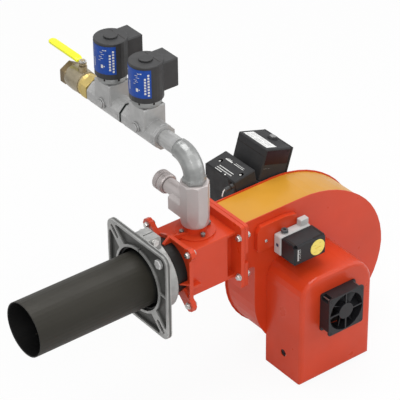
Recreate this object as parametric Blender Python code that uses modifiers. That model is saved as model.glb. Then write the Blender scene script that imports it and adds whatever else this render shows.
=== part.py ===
"""Forced-draught gas burner, built from separate pieces at real size.

World axes: the blast tube lies along X with its mouth at -X, the gas train runs to +Y, Z is up.
The origin is on the tube's axis, in the plane of the sliding flange's boiler-side face.
Sizes below are in millimetres.
"""
import math

import bmesh
import bpy
from mathutils import Matrix, Vector

MM = 0.001

# Clearances
SEAT = 0.3               # between pieces that rest on each other
RUN = 0.6                # between a turning or sliding piece and its guide

# Blast tube
TUBE_OD = 150.0
TUBE_WALL = 3.0
TUBE_REACH = 350.0       # from the flange's boiler side to the mouth
TUBE_STEPS = 40          # facets of the tube and of the bores round it

# Sliding flange
FLANGE_MARGIN = 54.0     # from the tube to the flange's sides
FLANGE_SIDE = TUBE_OD + 2 * FLANGE_MARGIN
FLANGE_CORNER = 24.0
FLANGE_THICK = 14.0
FLANGE_FLOOR = 5.0
FLANGE_RIM = 7.5
MOUTH_GAP = 14.0         # round the tube in the wide bore at the boiler side
STEP_GAP = 8.0           # round the tube behind the step in the mouth
FLANGE_MOUTH = TUBE_OD + 2 * MOUTH_GAP
FLANGE_STEP = TUBE_OD + 2 * STEP_GAP
FLANGE_STEP_X = 8.0
FLANGE_RING = 7.0
WEB_Z = (5.0, 9.0)       # the web that closes the long pocket
COLLAR_WALL = 24.0
COLLAR_OD = TUBE_OD + 2 * COLLAR_WALL
COLLAR_REACH = 60.0
COLLAR_GRIP = 20.0       # length of the bore that grips the tube
STUD_SLOT = 11.0
STUD_CENTRE = FLANGE_SIDE / 2 + 21      # radius of the stud slots' middle
STUD_TRAVEL = 5.0
RIB_WIDTH = 27.0
GROOVE_REACH = (FLANGE_SIDE / 2 - 6, FLANGE_SIDE / 2 + 16)
GROOVE_WIDTH = 13.0
GROOVE_DEPTH = 6.0
SPLIT_WIDTH = 4.0
SPLIT_Y = -8.0
LUG_Y = (-35.0, 18.0)
LUG_TOP = COLLAR_OD / 2 + 33
LUG_END = 52.0
CLAMP_X = 33.0
CLAMP_Z = COLLAR_OD / 2 + 20
BOLT_RADIUS = 5.0
BOLT_FLATS = 17.0
LOCK_SCREW = (38 - FLANGE_SIDE / 2, FLANGE_SIDE / 2 - 34)
LOCK_FLATS = 25.0

# Head casting
HEAD_FRONT = 98.0
HEAD_PLATE = 13.0
HEAD_FLOOR = 105.0       # bottom of the pockets in the front plate
GUSSET_FRONT = 80.0      # where the gussets end on the tube's side
GUSSET_THICK = 4.0
HEAD_HALF = 93.0
EAR_Y = 88.0
EAR_Z = 80.0
EAR_WIDTH = 36.0
EAR_HOLE = 5.5
LEDGE_Z = -9.5
BOX_HALF_Y = 71.0
BOX_HALF_Z = 72.0
BOX_WALL = 9.0
BOX_END = 265.0
RELIEF_START = 239.0
RELIEF_FLOOR = 50.0
REAR_THICK = 12.0
REAR_HALF_Y = 96.5
REAR_HALF_Z = 98.0
THROAT_RADIUS = 66.0
PAD_RADIUS = 54.0
PEDESTAL_OD = 60.0

# Gas train
TRAIN_X = 188.0
TRAIN_Z = 295.0
INLET_BASE = 96.5
INLET_TOP = 225.0
INLET_FLATS = 74.0
GAS_BORE = 40.0
BRANCH_Z = 157.0
BRANCH_DROP = 23.0       # how far the hexagon's centre lies below the knob's axis
BRANCH_FLATS = 66.0
BRANCH_END = 74.0
BRANCH_NECK = 42.0
KNOB_OD = 55.0
KNOB_START = 112.0
KNOB_LENGTH = 39.0
SPINDLE_RADIUS = 8.0
NEST_RADIUS = 15.0       # room for the throttle's head
PIPE_OD = 48.3
ELBOW_OD = 56.0
ELBOW_RADIUS = 55.0
ELBOW_HEX = 55.0
SOCKET_DEPTH = 13.0      # how far each pipe reaches into a fitting
VALVE_LENGTH = 150.0
VALVE_STARTS = (125.0, 280.0)
VALVE_RADIUS = 34.0
VALVE_FLATS = 65.0
VALVE_BLOCK = 70.0
VALVE_TOP = 73.0         # block's top above the pipe's axis
CHAMBER_FLOOR = 25.0
CHAMBER_RADIUS = 28.0
SEAT_RADIUS = 13.0
COIL_RADIUS = 46.0
COIL_BASE = 93.0         # coil's underside above the pipe's axis
COIL_TOP = 199.0
NECK_RADIUS = 33.0
TERMINAL_Z = (108.0, 193.0)
TERMINAL_REACH = 79.0    # from the coil's axis to the terminal box's far side
PLUNGER_RADIUS = 9.5
PLUNGER_TOP = 140.0
GUIDE_TOP = 185.0
BALL_START = 437.0
BALL_LENGTH = 123.0
BALL_FLATS = 62.0
BALL_HEX = 24.0
BALL_RADIUS = 24.0
STEM_RADIUS = 6.0
STEM_Y = 492.0
LEVER_Z = 352.0
LEVER_THICK = 5.0
LEVER_WIDTH = 24.0
LEVER_END = 648.0

# Fan case
CASE_HALF = 65.0         # half the distance between the side plates' outer faces
CASE_PLATE = 3.0
CASE_RIM = 4.0
CASE_START = 289.0
CASE_TOP = 80.0
CASE_FLAT_END = 495.0
CASE_TOP_RADIUS = 320.0
CASE_JOIN = 50.0         # degrees, where the two upper arcs meet
CASE_RIGHT_RADIUS = 243.0
CASE_LEFT_RADIUS = 209.0
CASE_OUTLET_LOW = -70.0
AXIS_X = 498.0           # fan wheel, motor and cooling fan share this axis
AXIS_Z = -184.0
EYE_RADIUS = 92.0
WHEEL_RADIUS = 130.0
WHEEL_Y = (-46.0, 40.0)
BLADE_COUNT = 18
BLADE_DEPTH = 26.0
SHAFT_RADIUS = 8.0

# Motor hood and its fans
HOOD_X = (375.0, 620.4)
HOOD_FRONT = -214.3
HOOD_Z = (-404.0, -72.0)
HOOD_WALL = 3.0
HOOD_LEFT_RADIUS = 58.0
HOOD_RIGHT_RADIUS = 84.0
HOOD_EDGE = 11.0
DAMPER_Y = -140.0
DAMPER_Z = -335.0
DAMPER_RADIUS = 5.0
DAMPER_HOLE = 11.0
DAMPER_LEAF = 132.0
FAN_SIDE = 120.0
FAN_DEPTH = 38.0
FAN_BORE_RADIUS = 56.5
FAN_HUB_RADIUS = 20.0
FAN_PIN_RADIUS = 5.0
FAN_BLADES = 7
FAN_NOTCH = 13.0         # open corners between the fan frame's two square ends
MOTOR_RADIUS = 69.0
MOTOR_Y = (-187.0, -73.0)
SPIDER_RADIUS = 104.0

# Air pressure switch
SWITCH_X = (387.0, 491.0)
SWITCH_Z = (-39.0, 21.0)
SWITCH_Y = (-168.0, -109.0, -80.0)   # cover front, cover back, body back
SWITCH_TAB = 54.0        # how far the bracket reaches beyond the switch
DIAL = (465.0, -9.5)
DIAL_RADIUS = 24.0

# Control box and ignition transformer, each in a frame of its own with a tilted top
BACK_FACE = 70.0
CONTROL_CORNER = (484.0, 169.0)
CONTROL_TILT = 17.0
CONTROL_SIZE = (91.0, 122.0, 95.0)
BUTTON_AT = (75.0, 65.0)
BUTTON_RADIUS = 10.0
TRANSFORMER_CORNER = (373.0, 109.0)
TRANSFORMER_TILT = -10.0
TRANSFORMER_SIZE = (72.0, 127.0, 60.0)
CONNECTOR_LENGTH = 28.0
SHELF_THICK = 3.0
BRACKET_LOW = -40.0

# Burner head inside the tube, measured from the tube's mouth and its inner wall
DISC_BACK = 66.0
DISC_THICK = 2.0
DISC_GAP = 4.0
SWIRL_START = 36.0       # the disc's slots, clear of the electrodes
SWIRL_MARGIN = 14.4
NOZZLE_BACK = (50.0, 100.0)
NOZZLE_RADIUS = 22.0
LANCE_BACK = 88.0
LANCE_RADIUS = 17.0
PROBE_BACK = (35.0, 150.0)
PROBE_RADIUS = 4.0
CLAMP_BACK = 115.0
CLAMP_THICK = 8.0
ELECTRODES = ((10.0, 27.5), (-10.0, 27.5), (0.0, -29.0))

FINISHES = {
    "orange_paint": ((0.60, 0.07, 0.02), 0.4, 0.0),
    "cast_grey": ((0.36, 0.36, 0.35), 0.5, 0.7),
    "dark_steel": ((0.06, 0.055, 0.045), 0.55, 0.3),
    "zinc": ((0.62, 0.60, 0.58), 0.35, 0.9),
    "silver_paint": ((0.45, 0.42, 0.41), 0.45, 0.4),
    "brass": ((0.56, 0.42, 0.20), 0.35, 0.9),
    "yellow_plastic": ((0.72, 0.80, 0.02), 0.45, 0.0),
    "pale_yellow": ((0.85, 0.75, 0.15), 0.45, 0.0),
    "black_plastic": ((0.03, 0.03, 0.032), 0.5, 0.0),
    "grey_plastic": ((0.30, 0.30, 0.31), 0.55, 0.0),
    "ochre_paint": ((0.62, 0.30, 0.04), 0.5, 0.0),
    "ceramic": ((0.80, 0.78, 0.74), 0.3, 0.0),
}
PLANES = {
    "YZ": Matrix(((0, 0, 1), (1, 0, 0), (0, 1, 0))),
    "XZ": Matrix(((1, 0, 0), (0, 0, -1), (0, 1, 0))),
    "XY": Matrix.Identity(3),
}
NORMALS = {"YZ": Vector((1, 0, 0)), "XZ": Vector((0, 1, 0)), "XY": Vector((0, 0, 1))}


# Helpers: all take millimetres. A piece without a finish is a cutter or a shape to be joined.

def new_group(name):
    group = bpy.data.collections.new(name)
    bpy.context.scene.collection.children.link(group)
    return group


def surface(part, finish):
    colour, roughness, metallic = FINISHES[finish]
    made = bpy.data.materials.new(part + "_" + finish)
    made.use_nodes = True
    shader = made.node_tree.nodes["Principled BSDF"]
    shader.inputs["Base Color"].default_value = (*colour, 1)
    shader.inputs["Roughness"].default_value = roughness
    shader.inputs["Metallic"].default_value = metallic
    return made


def add_object(name, data, finish, matrix=None):
    thing = bpy.data.objects.new(name, data)
    if matrix is not None:
        thing.matrix_world = matrix
    if finish is None:
        CUTTERS.objects.link(thing)
        thing.hide_render = True
        thing.display_type = "WIRE"
    else:
        PARTS.objects.link(thing)
        data.materials.append(surface(name, finish))
    return thing


def block(name, x, y, z, finish=None):
    """A box between two places along each axis."""
    corner = Vector((x[0], y[0], z[0])) * MM
    far = Vector((x[1], y[1], z[1])) * MM
    shape = bmesh.new()
    size = Matrix.Diagonal((*(far - corner), 1))
    bmesh.ops.create_cube(shape, size=1, matrix=Matrix.Translation((corner + far) / 2) @ size)
    mesh = bpy.data.meshes.new(name)
    shape.to_mesh(mesh)
    shape.free()
    return add_object(name, mesh, finish)


def rod(name, start, end, radius, finish=None, sides=20, end_radius=None, twist=0.0):
    """A round or many-sided bar between two points."""
    start = Vector(start) * MM
    end = Vector(end) * MM
    along = end - start
    turn = along.to_track_quat("Z", "Y").to_matrix().to_4x4()
    turn = turn @ Matrix.Rotation(math.radians(twist), 4, "Z")
    last = radius if end_radius is None else end_radius
    shape = bmesh.new()
    bmesh.ops.create_cone(shape, cap_ends=True, segments=sides, radius1=radius * MM,
                          radius2=last * MM, depth=along.length,
                          matrix=Matrix.Translation((start + end) / 2) @ turn)
    mesh = bpy.data.meshes.new(name)
    shape.to_mesh(mesh)
    shape.free()
    return add_object(name, mesh, finish)


def prism(name, start, end, flats, sides, finish=None, twist=0.0):
    """A many-sided bar given by its width across flats."""
    radius = flats / 2 / math.cos(math.pi / sides)
    return rod(name, start, end, radius, finish, sides, None, twist)


def turned(name, at, axis, profile, finish=None, steps=24):
    """A turned shape. The profile lists (distance along the axis, radius)."""
    area = 0.0
    for place, (along, radius) in enumerate(profile):
        area += profile[place - 1][1] * along - radius * profile[place - 1][0]
    if area > 0:
        profile = profile[::-1]
    shape = bmesh.new()
    points = [shape.verts.new((radius * MM, 0, along * MM)) for along, radius in profile]
    for first, second in zip(points, points[1:]):
        shape.edges.new((first, second))
    if profile[0][1] > 0:
        shape.edges.new((points[-1], points[0]))
    mesh = bpy.data.meshes.new(name)
    shape.to_mesh(mesh)
    shape.free()
    turn = Vector((0, 0, 1)).rotation_difference(Vector(axis)).to_matrix().to_4x4()
    thing = add_object(name, mesh, finish, Matrix.Translation(Vector(at) * MM) @ turn)
    screw = thing.modifiers.new("turn", "SCREW")
    screw.axis = "Z"
    screw.steps = steps
    screw.render_steps = steps
    screw.use_merge_vertices = True
    screw.merge_threshold = 0.00001
    return thing


def to_mesh(curve_object, finish):
    """Turn a curve into a closed mesh, so that it can be cut or joined."""
    evaluated = curve_object.evaluated_get(bpy.context.evaluated_depsgraph_get())
    mesh = bpy.data.meshes.new_from_object(evaluated)
    shape = bmesh.new()
    shape.from_mesh(mesh)
    bmesh.ops.remove_doubles(shape, verts=shape.verts, dist=0.00001)
    shape.to_mesh(mesh)
    shape.free()
    name = curve_object.name
    matrix = curve_object.matrix_world.copy()
    bpy.data.objects.remove(curve_object, do_unlink=True)
    mesh.materials.clear()
    return add_object(name, mesh, finish, matrix)


def plate(name, plane, span, outlines, finish=None):
    """A flat shape with any number of outlines and holes, between two places along its normal."""
    curve = bpy.data.curves.new(name, "CURVE")
    curve.dimensions = "2D"
    curve.fill_mode = "BOTH"
    curve.extrude = (span[1] - span[0]) / 2 * MM
    for outline in outlines:
        spline = curve.splines.new("POLY")
        spline.points.add(len(outline) - 1)
        spline.use_cyclic_u = True
        for point, (across, up) in zip(spline.points, outline):
            point.co = (across * MM, up * MM, 0, 1)
    middle = NORMALS[plane] * (span[0] + span[1]) / 2 * MM
    thing = bpy.data.objects.new(name, curve)
    CUTTERS.objects.link(thing)
    thing.matrix_world = Matrix.Translation(middle) @ PLANES[plane].to_4x4()
    bpy.context.view_layer.update()
    return to_mesh(thing, finish)


def wire(name, points, radius, finish=None, roundness=2):
    """A round bar along a line of points, as a mesh."""
    curve = bpy.data.curves.new(name, "CURVE")
    curve.dimensions = "3D"
    curve.bevel_depth = radius * MM
    curve.bevel_resolution = roundness
    curve.use_fill_caps = True
    spline = curve.splines.new("POLY")
    spline.points.add(len(points) - 1)
    for point, place in zip(spline.points, points):
        point.co = (*(Vector(place) * MM), 1)
    thing = bpy.data.objects.new(name, curve)
    CUTTERS.objects.link(thing)
    bpy.context.view_layer.update()
    return to_mesh(thing, finish)


def combine(thing, others, operation):
    for other in others:
        step = thing.modifiers.new(other.name, "BOOLEAN")
        step.operation = operation
        step.solver = "EXACT"
        step.object = other
    return thing


def cut(thing, *cutters):
    return combine(thing, cutters, "DIFFERENCE")


def join(thing, *pieces):
    return combine(thing, pieces, "UNION")


def soften(thing, width, segments=1, angle=50):
    bevel = thing.modifiers.new("edges", "BEVEL")
    bevel.width = width * MM
    bevel.segments = segments
    bevel.limit_method = "ANGLE"
    bevel.angle_limit = math.radians(angle)
    return thing


def round_edges(thing, width, segments, wanted):
    """Round the edges of a plain mesh whose two ends both pass a test, given in world millimetres."""
    shape = bmesh.new()
    shape.from_mesh(thing.data)
    matrix = thing.matrix_world
    edges = []
    for edge in shape.edges:
        ends = [matrix @ vert.co / MM for vert in edge.verts]
        if edge.calc_face_angle(0) > 0.6 and all(wanted(*end) for end in ends):
            edges.append(edge)
    bmesh.ops.bevel(shape, geom=edges, offset=width * MM, segments=segments, profile=0.5,
                    affect="EDGES")
    shape.to_mesh(thing.data)
    shape.free()
    return thing


def hang(thing, at):
    """Move a piece's origin onto its joint axis and leave its shape in place."""
    pivot = Matrix.Translation(Vector(at) * MM)
    thing.data.transform(pivot.inverted() @ thing.matrix_world)
    thing.matrix_world = pivot
    return thing


def settle(thing):
    """Apply the modifiers, then shade the round faces smooth and keep the edges crisp."""
    finish = thing.data.materials[0]
    evaluated = thing.evaluated_get(bpy.context.evaluated_depsgraph_get())
    mesh = bpy.data.meshes.new_from_object(evaluated)
    mesh.name = thing.name
    thing.modifiers.clear()
    thing.data = mesh
    mesh.materials.clear()
    mesh.materials.append(finish)
    mesh.shade_smooth()
    mesh.set_sharp_from_angle(angle=math.radians(32))


# Outlines

def arc(centre, radius, start, end, steps):
    """Points along an arc, both ends included; angles in degrees."""
    points = []
    for step in range(steps + 1):
        angle = math.radians(start + (end - start) * step / steps)
        points.append((centre[0] + radius * math.cos(angle), centre[1] + radius * math.sin(angle)))
    return points


def circle(centre, radius, steps=24):
    return arc(centre, radius, 0, 360 - 360 / steps, steps - 1)


def slot(first, second, width, steps=4):
    """Two half circles about two points, joined by straight sides."""
    lean = math.degrees(math.atan2(second[1] - first[1], second[0] - first[0]))
    far = arc(second, width / 2, lean - 90, lean + 90, steps)
    return far + arc(first, width / 2, lean + 90, lean + 270, steps)


def rectangle(low, high):
    return [low, (high[0], low[1]), high, (low[0], high[1])]


def rounded(corners, radii, steps=3):
    """Round the corners of a closed outline; radii is one value or one per corner."""
    if not isinstance(radii, (list, tuple)):
        radii = [radii] * len(corners)
    points = []
    for place, radius in enumerate(radii):
        corner = Vector(corners[place])
        if radius == 0:
            points.append(tuple(corner))
            continue
        before = (Vector(corners[place - 1]) - corner).normalized()
        after = (Vector(corners[(place + 1) % len(corners)]) - corner).normalized()
        half = before.angle(after) / 2
        centre = corner + (before + after).normalized() * radius / math.sin(half)
        first = corner + before * radius / math.tan(half) - centre
        last = corner + after * radius / math.tan(half) - centre
        start = math.degrees(math.atan2(first.y, first.x))
        end = math.degrees(math.atan2(last.y, last.x))
        sweep = (end - start + 180) % 360 - 180
        points += arc(centre, radius, start, start + sweep, steps)
    return points


def turned_round(points, degrees):
    lean = math.radians(degrees)
    cos, sin = math.cos(lean), math.sin(lean)
    return [(a * cos - b * sin, a * sin + b * cos) for a, b in points]


def strip(points, thickness):
    """A band of even thickness on the left of a line of points."""
    far = []
    for place, point in enumerate(points):
        here = Vector(point)
        back = Vector(points[place - 1]) if place else None
        ahead = Vector(points[place + 1]) if place + 1 < len(points) else None
        lines = []
        if back is not None:
            lines.append((here - back).normalized())
        if ahead is not None:
            lines.append((ahead - here).normalized())
        sides = [Vector((-line.y, line.x)) for line in lines]
        middle = sum(sides, Vector((0, 0))).normalized()
        far.append(tuple(here + middle * thickness / middle.dot(sides[0])))
    return list(points) + far[::-1]


# Sliding flange

def ring_pocket(first, last, outer, radii, steps):
    """A pocket between an arc on the ring, from one angle to another, and its outer corners."""
    ring = FLANGE_MOUTH / 2 + FLANGE_RING
    inner = arc((0, 0), ring, first, last, steps)
    return rounded(inner + outer, [3] + [0] * (len(inner) - 2) + [3] + radii, 2)


def flange_pockets():
    """The hollows between rim, ring and ribs. The corner with the lock screw has no rib."""
    ring = FLANGE_MOUTH / 2 + FLANGE_RING
    side = RIB_WIDTH / 2
    rib = 45 + math.degrees(math.asin(side / ring))
    edge = FLANGE_SIDE / 2 - FLANGE_RIM
    reach = edge - side * math.sqrt(2)
    low, high = WEB_Z
    plain = ring_pocket(rib, 180 - rib, [(-reach, edge), (reach, edge)], [6, 6], 6)
    corner = FLANGE_CORNER - FLANGE_RIM
    long_one = ring_pocket(rib, 180 - math.degrees(math.asin(high / ring)),
                           [(-edge, high), (-edge, edge), (reach, edge)], [3, corner, 6], 9)
    short_one = ring_pocket(180 - math.degrees(math.asin(low / ring)), 270 - rib,
                            [(-edge, -reach), (-edge, low)], [6, 3], 3)
    return [turned_round(plain, -90), turned_round(plain, 180), long_one, short_one]


def along_rib(radius, quarter):
    return turned_round([(radius, 0)], 45 + 90 * quarter)[0]


def make_sliding_flange():
    half = FLANGE_SIDE / 2
    pocket_floor = FLANGE_THICK - FLANGE_FLOOR
    outline = rounded(rectangle((-half, -half), (half, half)), FLANGE_CORNER, 4)
    flange = plate("sliding_flange", "YZ", (0, FLANGE_THICK), [outline], "cast_grey")
    soften(flange, 1.2)
    collar = turned("flange_collar", (0, 0, 0), (1, 0, 0), [
        (pocket_floor + 1, 0), (pocket_floor + 1, COLLAR_OD / 2),
        (COLLAR_REACH - 2, COLLAR_OD / 2), (COLLAR_REACH, COLLAR_OD / 2 - 2), (COLLAR_REACH, 0),
    ], steps=36)
    root = TUBE_OD / 2 - 5
    lug = plate("flange_lug", "XZ", LUG_Y, [rounded([
        (pocket_floor + 1.5, root), (LUG_END, root), (LUG_END, LUG_TOP),
        (pocket_floor + 1.5, LUG_TOP),
    ], [0, 0, 6, 0])])
    join(flange, collar, lug)
    pockets = plate("flange_pockets", "YZ", (-1, pocket_floor), flange_pockets())
    ribs = (0, 2, 3)
    near, far = GROOVE_REACH
    grooves = [slot(along_rib(near, rib), along_rib(far, rib), GROOVE_WIDTH) for rib in ribs]
    groove = plate("flange_grooves", "YZ", (-1, GROOVE_DEPTH), grooves)
    near = STUD_CENTRE - STUD_TRAVEL / 2
    far = STUD_CENTRE + STUD_TRAVEL / 2
    slots = [slot(along_rib(near, rib), along_rib(far, rib), STUD_SLOT) for rib in ribs]
    through = plate("flange_stud_slots", "YZ", (-2, FLANGE_THICK + 1), slots)
    grip = COLLAR_REACH - COLLAR_GRIP
    bore = turned("flange_bore", (0, 0, 0), (1, 0, 0), [
        (-1, 0), (-1, FLANGE_MOUTH / 2), (FLANGE_STEP_X, FLANGE_MOUTH / 2),
        (FLANGE_STEP_X, FLANGE_STEP / 2), (grip, FLANGE_STEP / 2),
        (grip, TUBE_OD / 2 + SEAT), (COLLAR_REACH + 1, TUBE_OD / 2 + SEAT), (COLLAR_REACH + 1, 0),
    ], steps=TUBE_STEPS)
    y, z = LOCK_SCREW
    hole = rod("lock_screw_hole", (-2, y, z), (FLANGE_THICK + 30, y, z), BOLT_RADIUS + SEAT,
               sides=12)
    split = (SPLIT_Y - SPLIT_WIDTH / 2, SPLIT_Y + SPLIT_WIDTH / 2)
    notch = block("flange_notch", (-1, COLLAR_REACH + 2), split, (root, FLANGE_MOUTH / 2 + 15))
    gap = block("flange_split", (FLANGE_THICK + 2, COLLAR_REACH + 2), split,
                (root + 10, LUG_TOP + 5))
    bolt_hole = rod("clamp_bolt_hole", (CLAMP_X, LUG_Y[0] - 5, CLAMP_Z),
                    (CLAMP_X, LUG_Y[1] + 5, CLAMP_Z), BOLT_RADIUS + SEAT, sides=12)
    cut(flange, pockets, groove, through, bore, hole, notch, gap, bolt_hole)


def make_flange_bolts():
    y0, y1 = LUG_Y
    shank = rod("flange_clamp_bolt", (CLAMP_X, y0 - 3, CLAMP_Z), (CLAMP_X, y1 + 12, CLAMP_Z),
                BOLT_RADIUS, "zinc", 12)
    head = prism("clamp_bolt_head", (CLAMP_X, y0 - 7, CLAMP_Z), (CLAMP_X, y0 - SEAT, CLAMP_Z),
                 BOLT_FLATS, 6)
    nut = prism("clamp_bolt_nut", (CLAMP_X, y1 + SEAT, CLAMP_Z), (CLAMP_X, y1 + 8, CLAMP_Z),
                BOLT_FLATS, 6)
    join(shank, head, nut)
    y, z = LOCK_SCREW
    floor = FLANGE_THICK - FLANGE_FLOOR
    lock = rod("flange_lock_screw", (floor - 4, y, z), (FLANGE_THICK + 14, y, z), BOLT_RADIUS,
               "zinc", 12)
    cap = prism("lock_screw_head", (floor - 11, y, z), (floor - SEAT, y, z), LOCK_FLATS, 6,
                None, 15)
    soften(cap, 1.8)
    back = prism("lock_screw_nut", (FLANGE_THICK + SEAT, y, z), (FLANGE_THICK + 8, y, z),
                 BOLT_FLATS, 6)
    join(lock, cap, back)


# Tube and head

def make_blast_tube():
    outer = TUBE_OD / 2
    inner = outer - TUBE_WALL
    end = HEAD_FRONT + HEAD_PLATE - 3
    turned("blast_tube", (0, 0, 0), (1, 0, 0), [
        (-TUBE_REACH, inner + 1), (-TUBE_REACH, outer), (end, outer), (end, inner),
        (-TUBE_REACH + 1, inner),
    ], "dark_steel", TUBE_STEPS)


def head_gusset(name, plane, span, low, high):
    """A web between the front plate and the tube, with a sloping front edge."""
    return plate(name, plane, span, [[
        (HEAD_FRONT + 10, low), (GUSSET_FRONT, low), (GUSSET_FRONT, low + math.copysign(4, high)),
        (HEAD_FRONT, high), (HEAD_FRONT + 10, high),
    ]])


def make_head_casting():
    plate_end = HEAD_FRONT + HEAD_PLATE
    head = block("head_casting", (plate_end - 2, BOX_END + 4), (-BOX_HALF_Y, BOX_HALF_Y),
                 (-BOX_HALF_Z, BOX_HALF_Z), "orange_paint")
    soften(head, 2)
    for side in (-1, 1):
        floor, beyond = sorted((side * RELIEF_FLOOR, side * (BOX_HALF_Y + 5)))
        relief = block("head_relief", (RELIEF_START, BOX_END + 6), (floor, beyond),
                       (12 - BOX_HALF_Z, BOX_HALF_Z - 8))
        cut(head, relief)
    rear = plate("head_rear_flange", "YZ", (BOX_END, BOX_END + REAR_THICK), [rounded(
        rectangle((-REAR_HALF_Y, -REAR_HALF_Z), (REAR_HALF_Y, REAR_HALF_Z)), 8)])
    soften(rear, 1)
    disc = rod("head_front_disc", (HEAD_FLOOR, 0, 0), (plate_end, 0, 0), 86, sides=32)
    shield = plate("head_front_shield", "YZ", (HEAD_FRONT + 0.6, plate_end - 0.6), [rounded(
        [(-HEAD_HALF, -EAR_Z + 12), (0, 0), (0, HEAD_HALF), (-HEAD_HALF, HEAD_HALF)],
        [0, 0, 5, 12])])
    arms = [plate("head_front_arm", "YZ", (HEAD_FRONT - 0.6, plate_end + 0.6),
                  [slot((-EAR_Y, -side * EAR_Z), (EAR_Y, side * EAR_Z), EAR_WIDTH)])
            for side in (-1, 1)]
    rim = HEAD_HALF - 5
    low = LEDGE_Z - GUSSET_THICK
    pockets = plate("head_pockets", "YZ", (HEAD_FRONT - 5, HEAD_FLOOR), [
        rounded([(-rim, LEDGE_Z), (-40, LEDGE_Z), (-9.5, 40), (-9.5, rim), (-68, rim),
                 (-74, 66), (-rim, 62)], [3, 0, 0, 3, 3, 3, 3], 2),
        rounded([(-rim, low), (-60, low), (-60, -35), (-rim, -60)], [3, 0, 0, 3], 2),
    ])
    side_gusset = head_gusset("head_side_gusset", "XY", (low, LEDGE_Z), -70, -HEAD_HALF)
    ridge = head_gusset("head_ridge", "XZ", (-9.5, -9.5 + 2 * GUSSET_THICK), 74, HEAD_HALF)
    spine = plate("head_spine", "XZ", (-9.2, -1.8), [[
        (HEAD_FRONT + 5, 80), (BOX_END - 60, 60), (BOX_END - 60, BOX_HALF_Z - 1),
        (plate_end, HEAD_HALF - 1),
    ]])
    side_web = block("head_side_web", (plate_end - 4, plate_end + 30),
                     (-HEAD_HALF + 6, -BOX_HALF_Y + 4), (low - 21, low - 13.5))
    pad = rod("head_pad", (TRAIN_X, 0, BOX_HALF_Z - 4), (TRAIN_X, 0, BOX_HALF_Z + 5), PAD_RADIUS,
              sides=28)
    neck = rod("head_neck", (TRAIN_X, 0, BOX_HALF_Z - 3), (TRAIN_X, 0, INLET_BASE - SEAT),
               PEDESTAL_OD / 2)
    join(head, side_web, spine, rear, disc, shield, *arms)
    cut(head, pockets)
    join(head, side_gusset, ridge, pad, neck)
    inner_y = BOX_HALF_Y - BOX_WALL
    inner_z = BOX_HALF_Z - BOX_WALL
    hollow = block("head_hollow", (plate_end + 8, RELIEF_START - 8), (-inner_y, inner_y),
                   (-inner_z, inner_z))
    outlet = block("head_outlet", (RELIEF_START - 20, BOX_END + 20),
                   (-RELIEF_FLOOR + BOX_WALL, RELIEF_FLOOR - BOX_WALL),
                   (20 - BOX_HALF_Z, BOX_HALF_Z - 16))
    socket = turned("head_socket", (0, 0, 0), (1, 0, 0), [
        (GUSSET_FRONT - 2, 0), (GUSSET_FRONT - 2, TUBE_OD / 2 + SEAT),
        (plate_end - 2.5, TUBE_OD / 2 + SEAT), (plate_end - 2.5, THROAT_RADIUS),
        (plate_end + 10, THROAT_RADIUS), (plate_end + 10, 0),
    ], steps=TUBE_STEPS)
    gas = rod("head_gas_hole", (TRAIN_X, 0, 40), (TRAIN_X, 0, INLET_BASE + 5), GAS_BORE / 2)
    cut(head, hollow, outlet, socket, gas)
    ears = [(y, z) for y in (-EAR_Y, EAR_Y) for z in (-EAR_Z, EAR_Z)]
    cut(head, plate("head_ear_holes", "YZ", (HEAD_FRONT - 3, plate_end + 3),
                    [circle(place, EAR_HOLE, 10) for place in ears]))


# Gas train

def make_gas_inlet():
    """An eight-sided body whose ends are turned round, with a side branch for the throttle."""
    x = TRAIN_X
    body = prism("gas_inlet_body", (x, 0, INLET_BASE), (x, 0, INLET_TOP), INLET_FLATS, 8,
                 "silver_paint", 22.5)
    flats = INLET_FLATS / 2
    barrel = turned("inlet_barrel", (x, 0, 0), (0, 0, 1), [
        (INLET_BASE - 1, 0), (INLET_BASE - 1, flats - 4), (INLET_BASE + 3, flats - 0.5),
        (INLET_BASE + 36, flats + 4), (INLET_TOP - 5, flats + 3.5), (INLET_TOP + 1, flats - 2),
        (INLET_TOP + 1, 0),
    ], steps=32)
    combine(body, [barrel], "INTERSECT")
    low = BRANCH_Z - BRANCH_DROP
    branch = prism("inlet_branch", (x, 10, low), (x, BRANCH_END, low), BRANCH_FLATS, 6)
    soften(branch, 2)
    neck = rod("inlet_branch_neck", (x, 12, BRANCH_Z), (x, KNOB_START - 2, BRANCH_Z),
               BRANCH_NECK / 2, sides=24)
    join(body, branch, neck)
    bore = rod("inlet_bore", (x, 0, INLET_BASE - 5), (x, 0, INLET_TOP + 5), GAS_BORE / 2)
    guide = rod("inlet_guide", (x, 15, BRANCH_Z), (x, KNOB_START + 5, BRANCH_Z),
                SPINDLE_RADIUS + RUN, sides=16)
    nest = rod("inlet_nest", (x, 10, BRANCH_Z), (x, 46, BRANCH_Z), NEST_RADIUS, sides=16)
    cut(body, bore, guide, nest)


def make_regulator():
    """The knob turns on the neck and drives the throttle's spindle in and out."""
    x = TRAIN_X
    end = KNOB_START + KNOB_LENGTH
    waist = KNOB_START + KNOB_LENGTH / 2
    radius = KNOB_OD / 2
    knob = turned("regulator_knob", (x, 0, BRANCH_Z), (0, 1, 0), [
        (KNOB_START, 0), (KNOB_START, radius - 3), (KNOB_START + 3, radius),
        (waist - 2, radius), (waist - 1, radius - 3), (waist + 1, radius - 3), (waist + 2, radius),
        (end - 3, radius), (end, radius - 3), (end, 0),
    ], "silver_paint", 28)
    hollow = rod("knob_hollow", (x, KNOB_START - 5, BRANCH_Z), (x, end - 5, BRANCH_Z),
                 SPINDLE_RADIUS + RUN, sides=16)
    cut(knob, hollow)
    throttle = NEST_RADIUS - 1
    turned("regulator_spindle", (x, 0, BRANCH_Z), (0, 1, 0), [
        (22, 0), (26, 9), (40, throttle), (44, throttle), (44, SPINDLE_RADIUS),
        (end - 12, SPINDLE_RADIUS), (end - 12, 0),
    ], "brass", 16)


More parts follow.
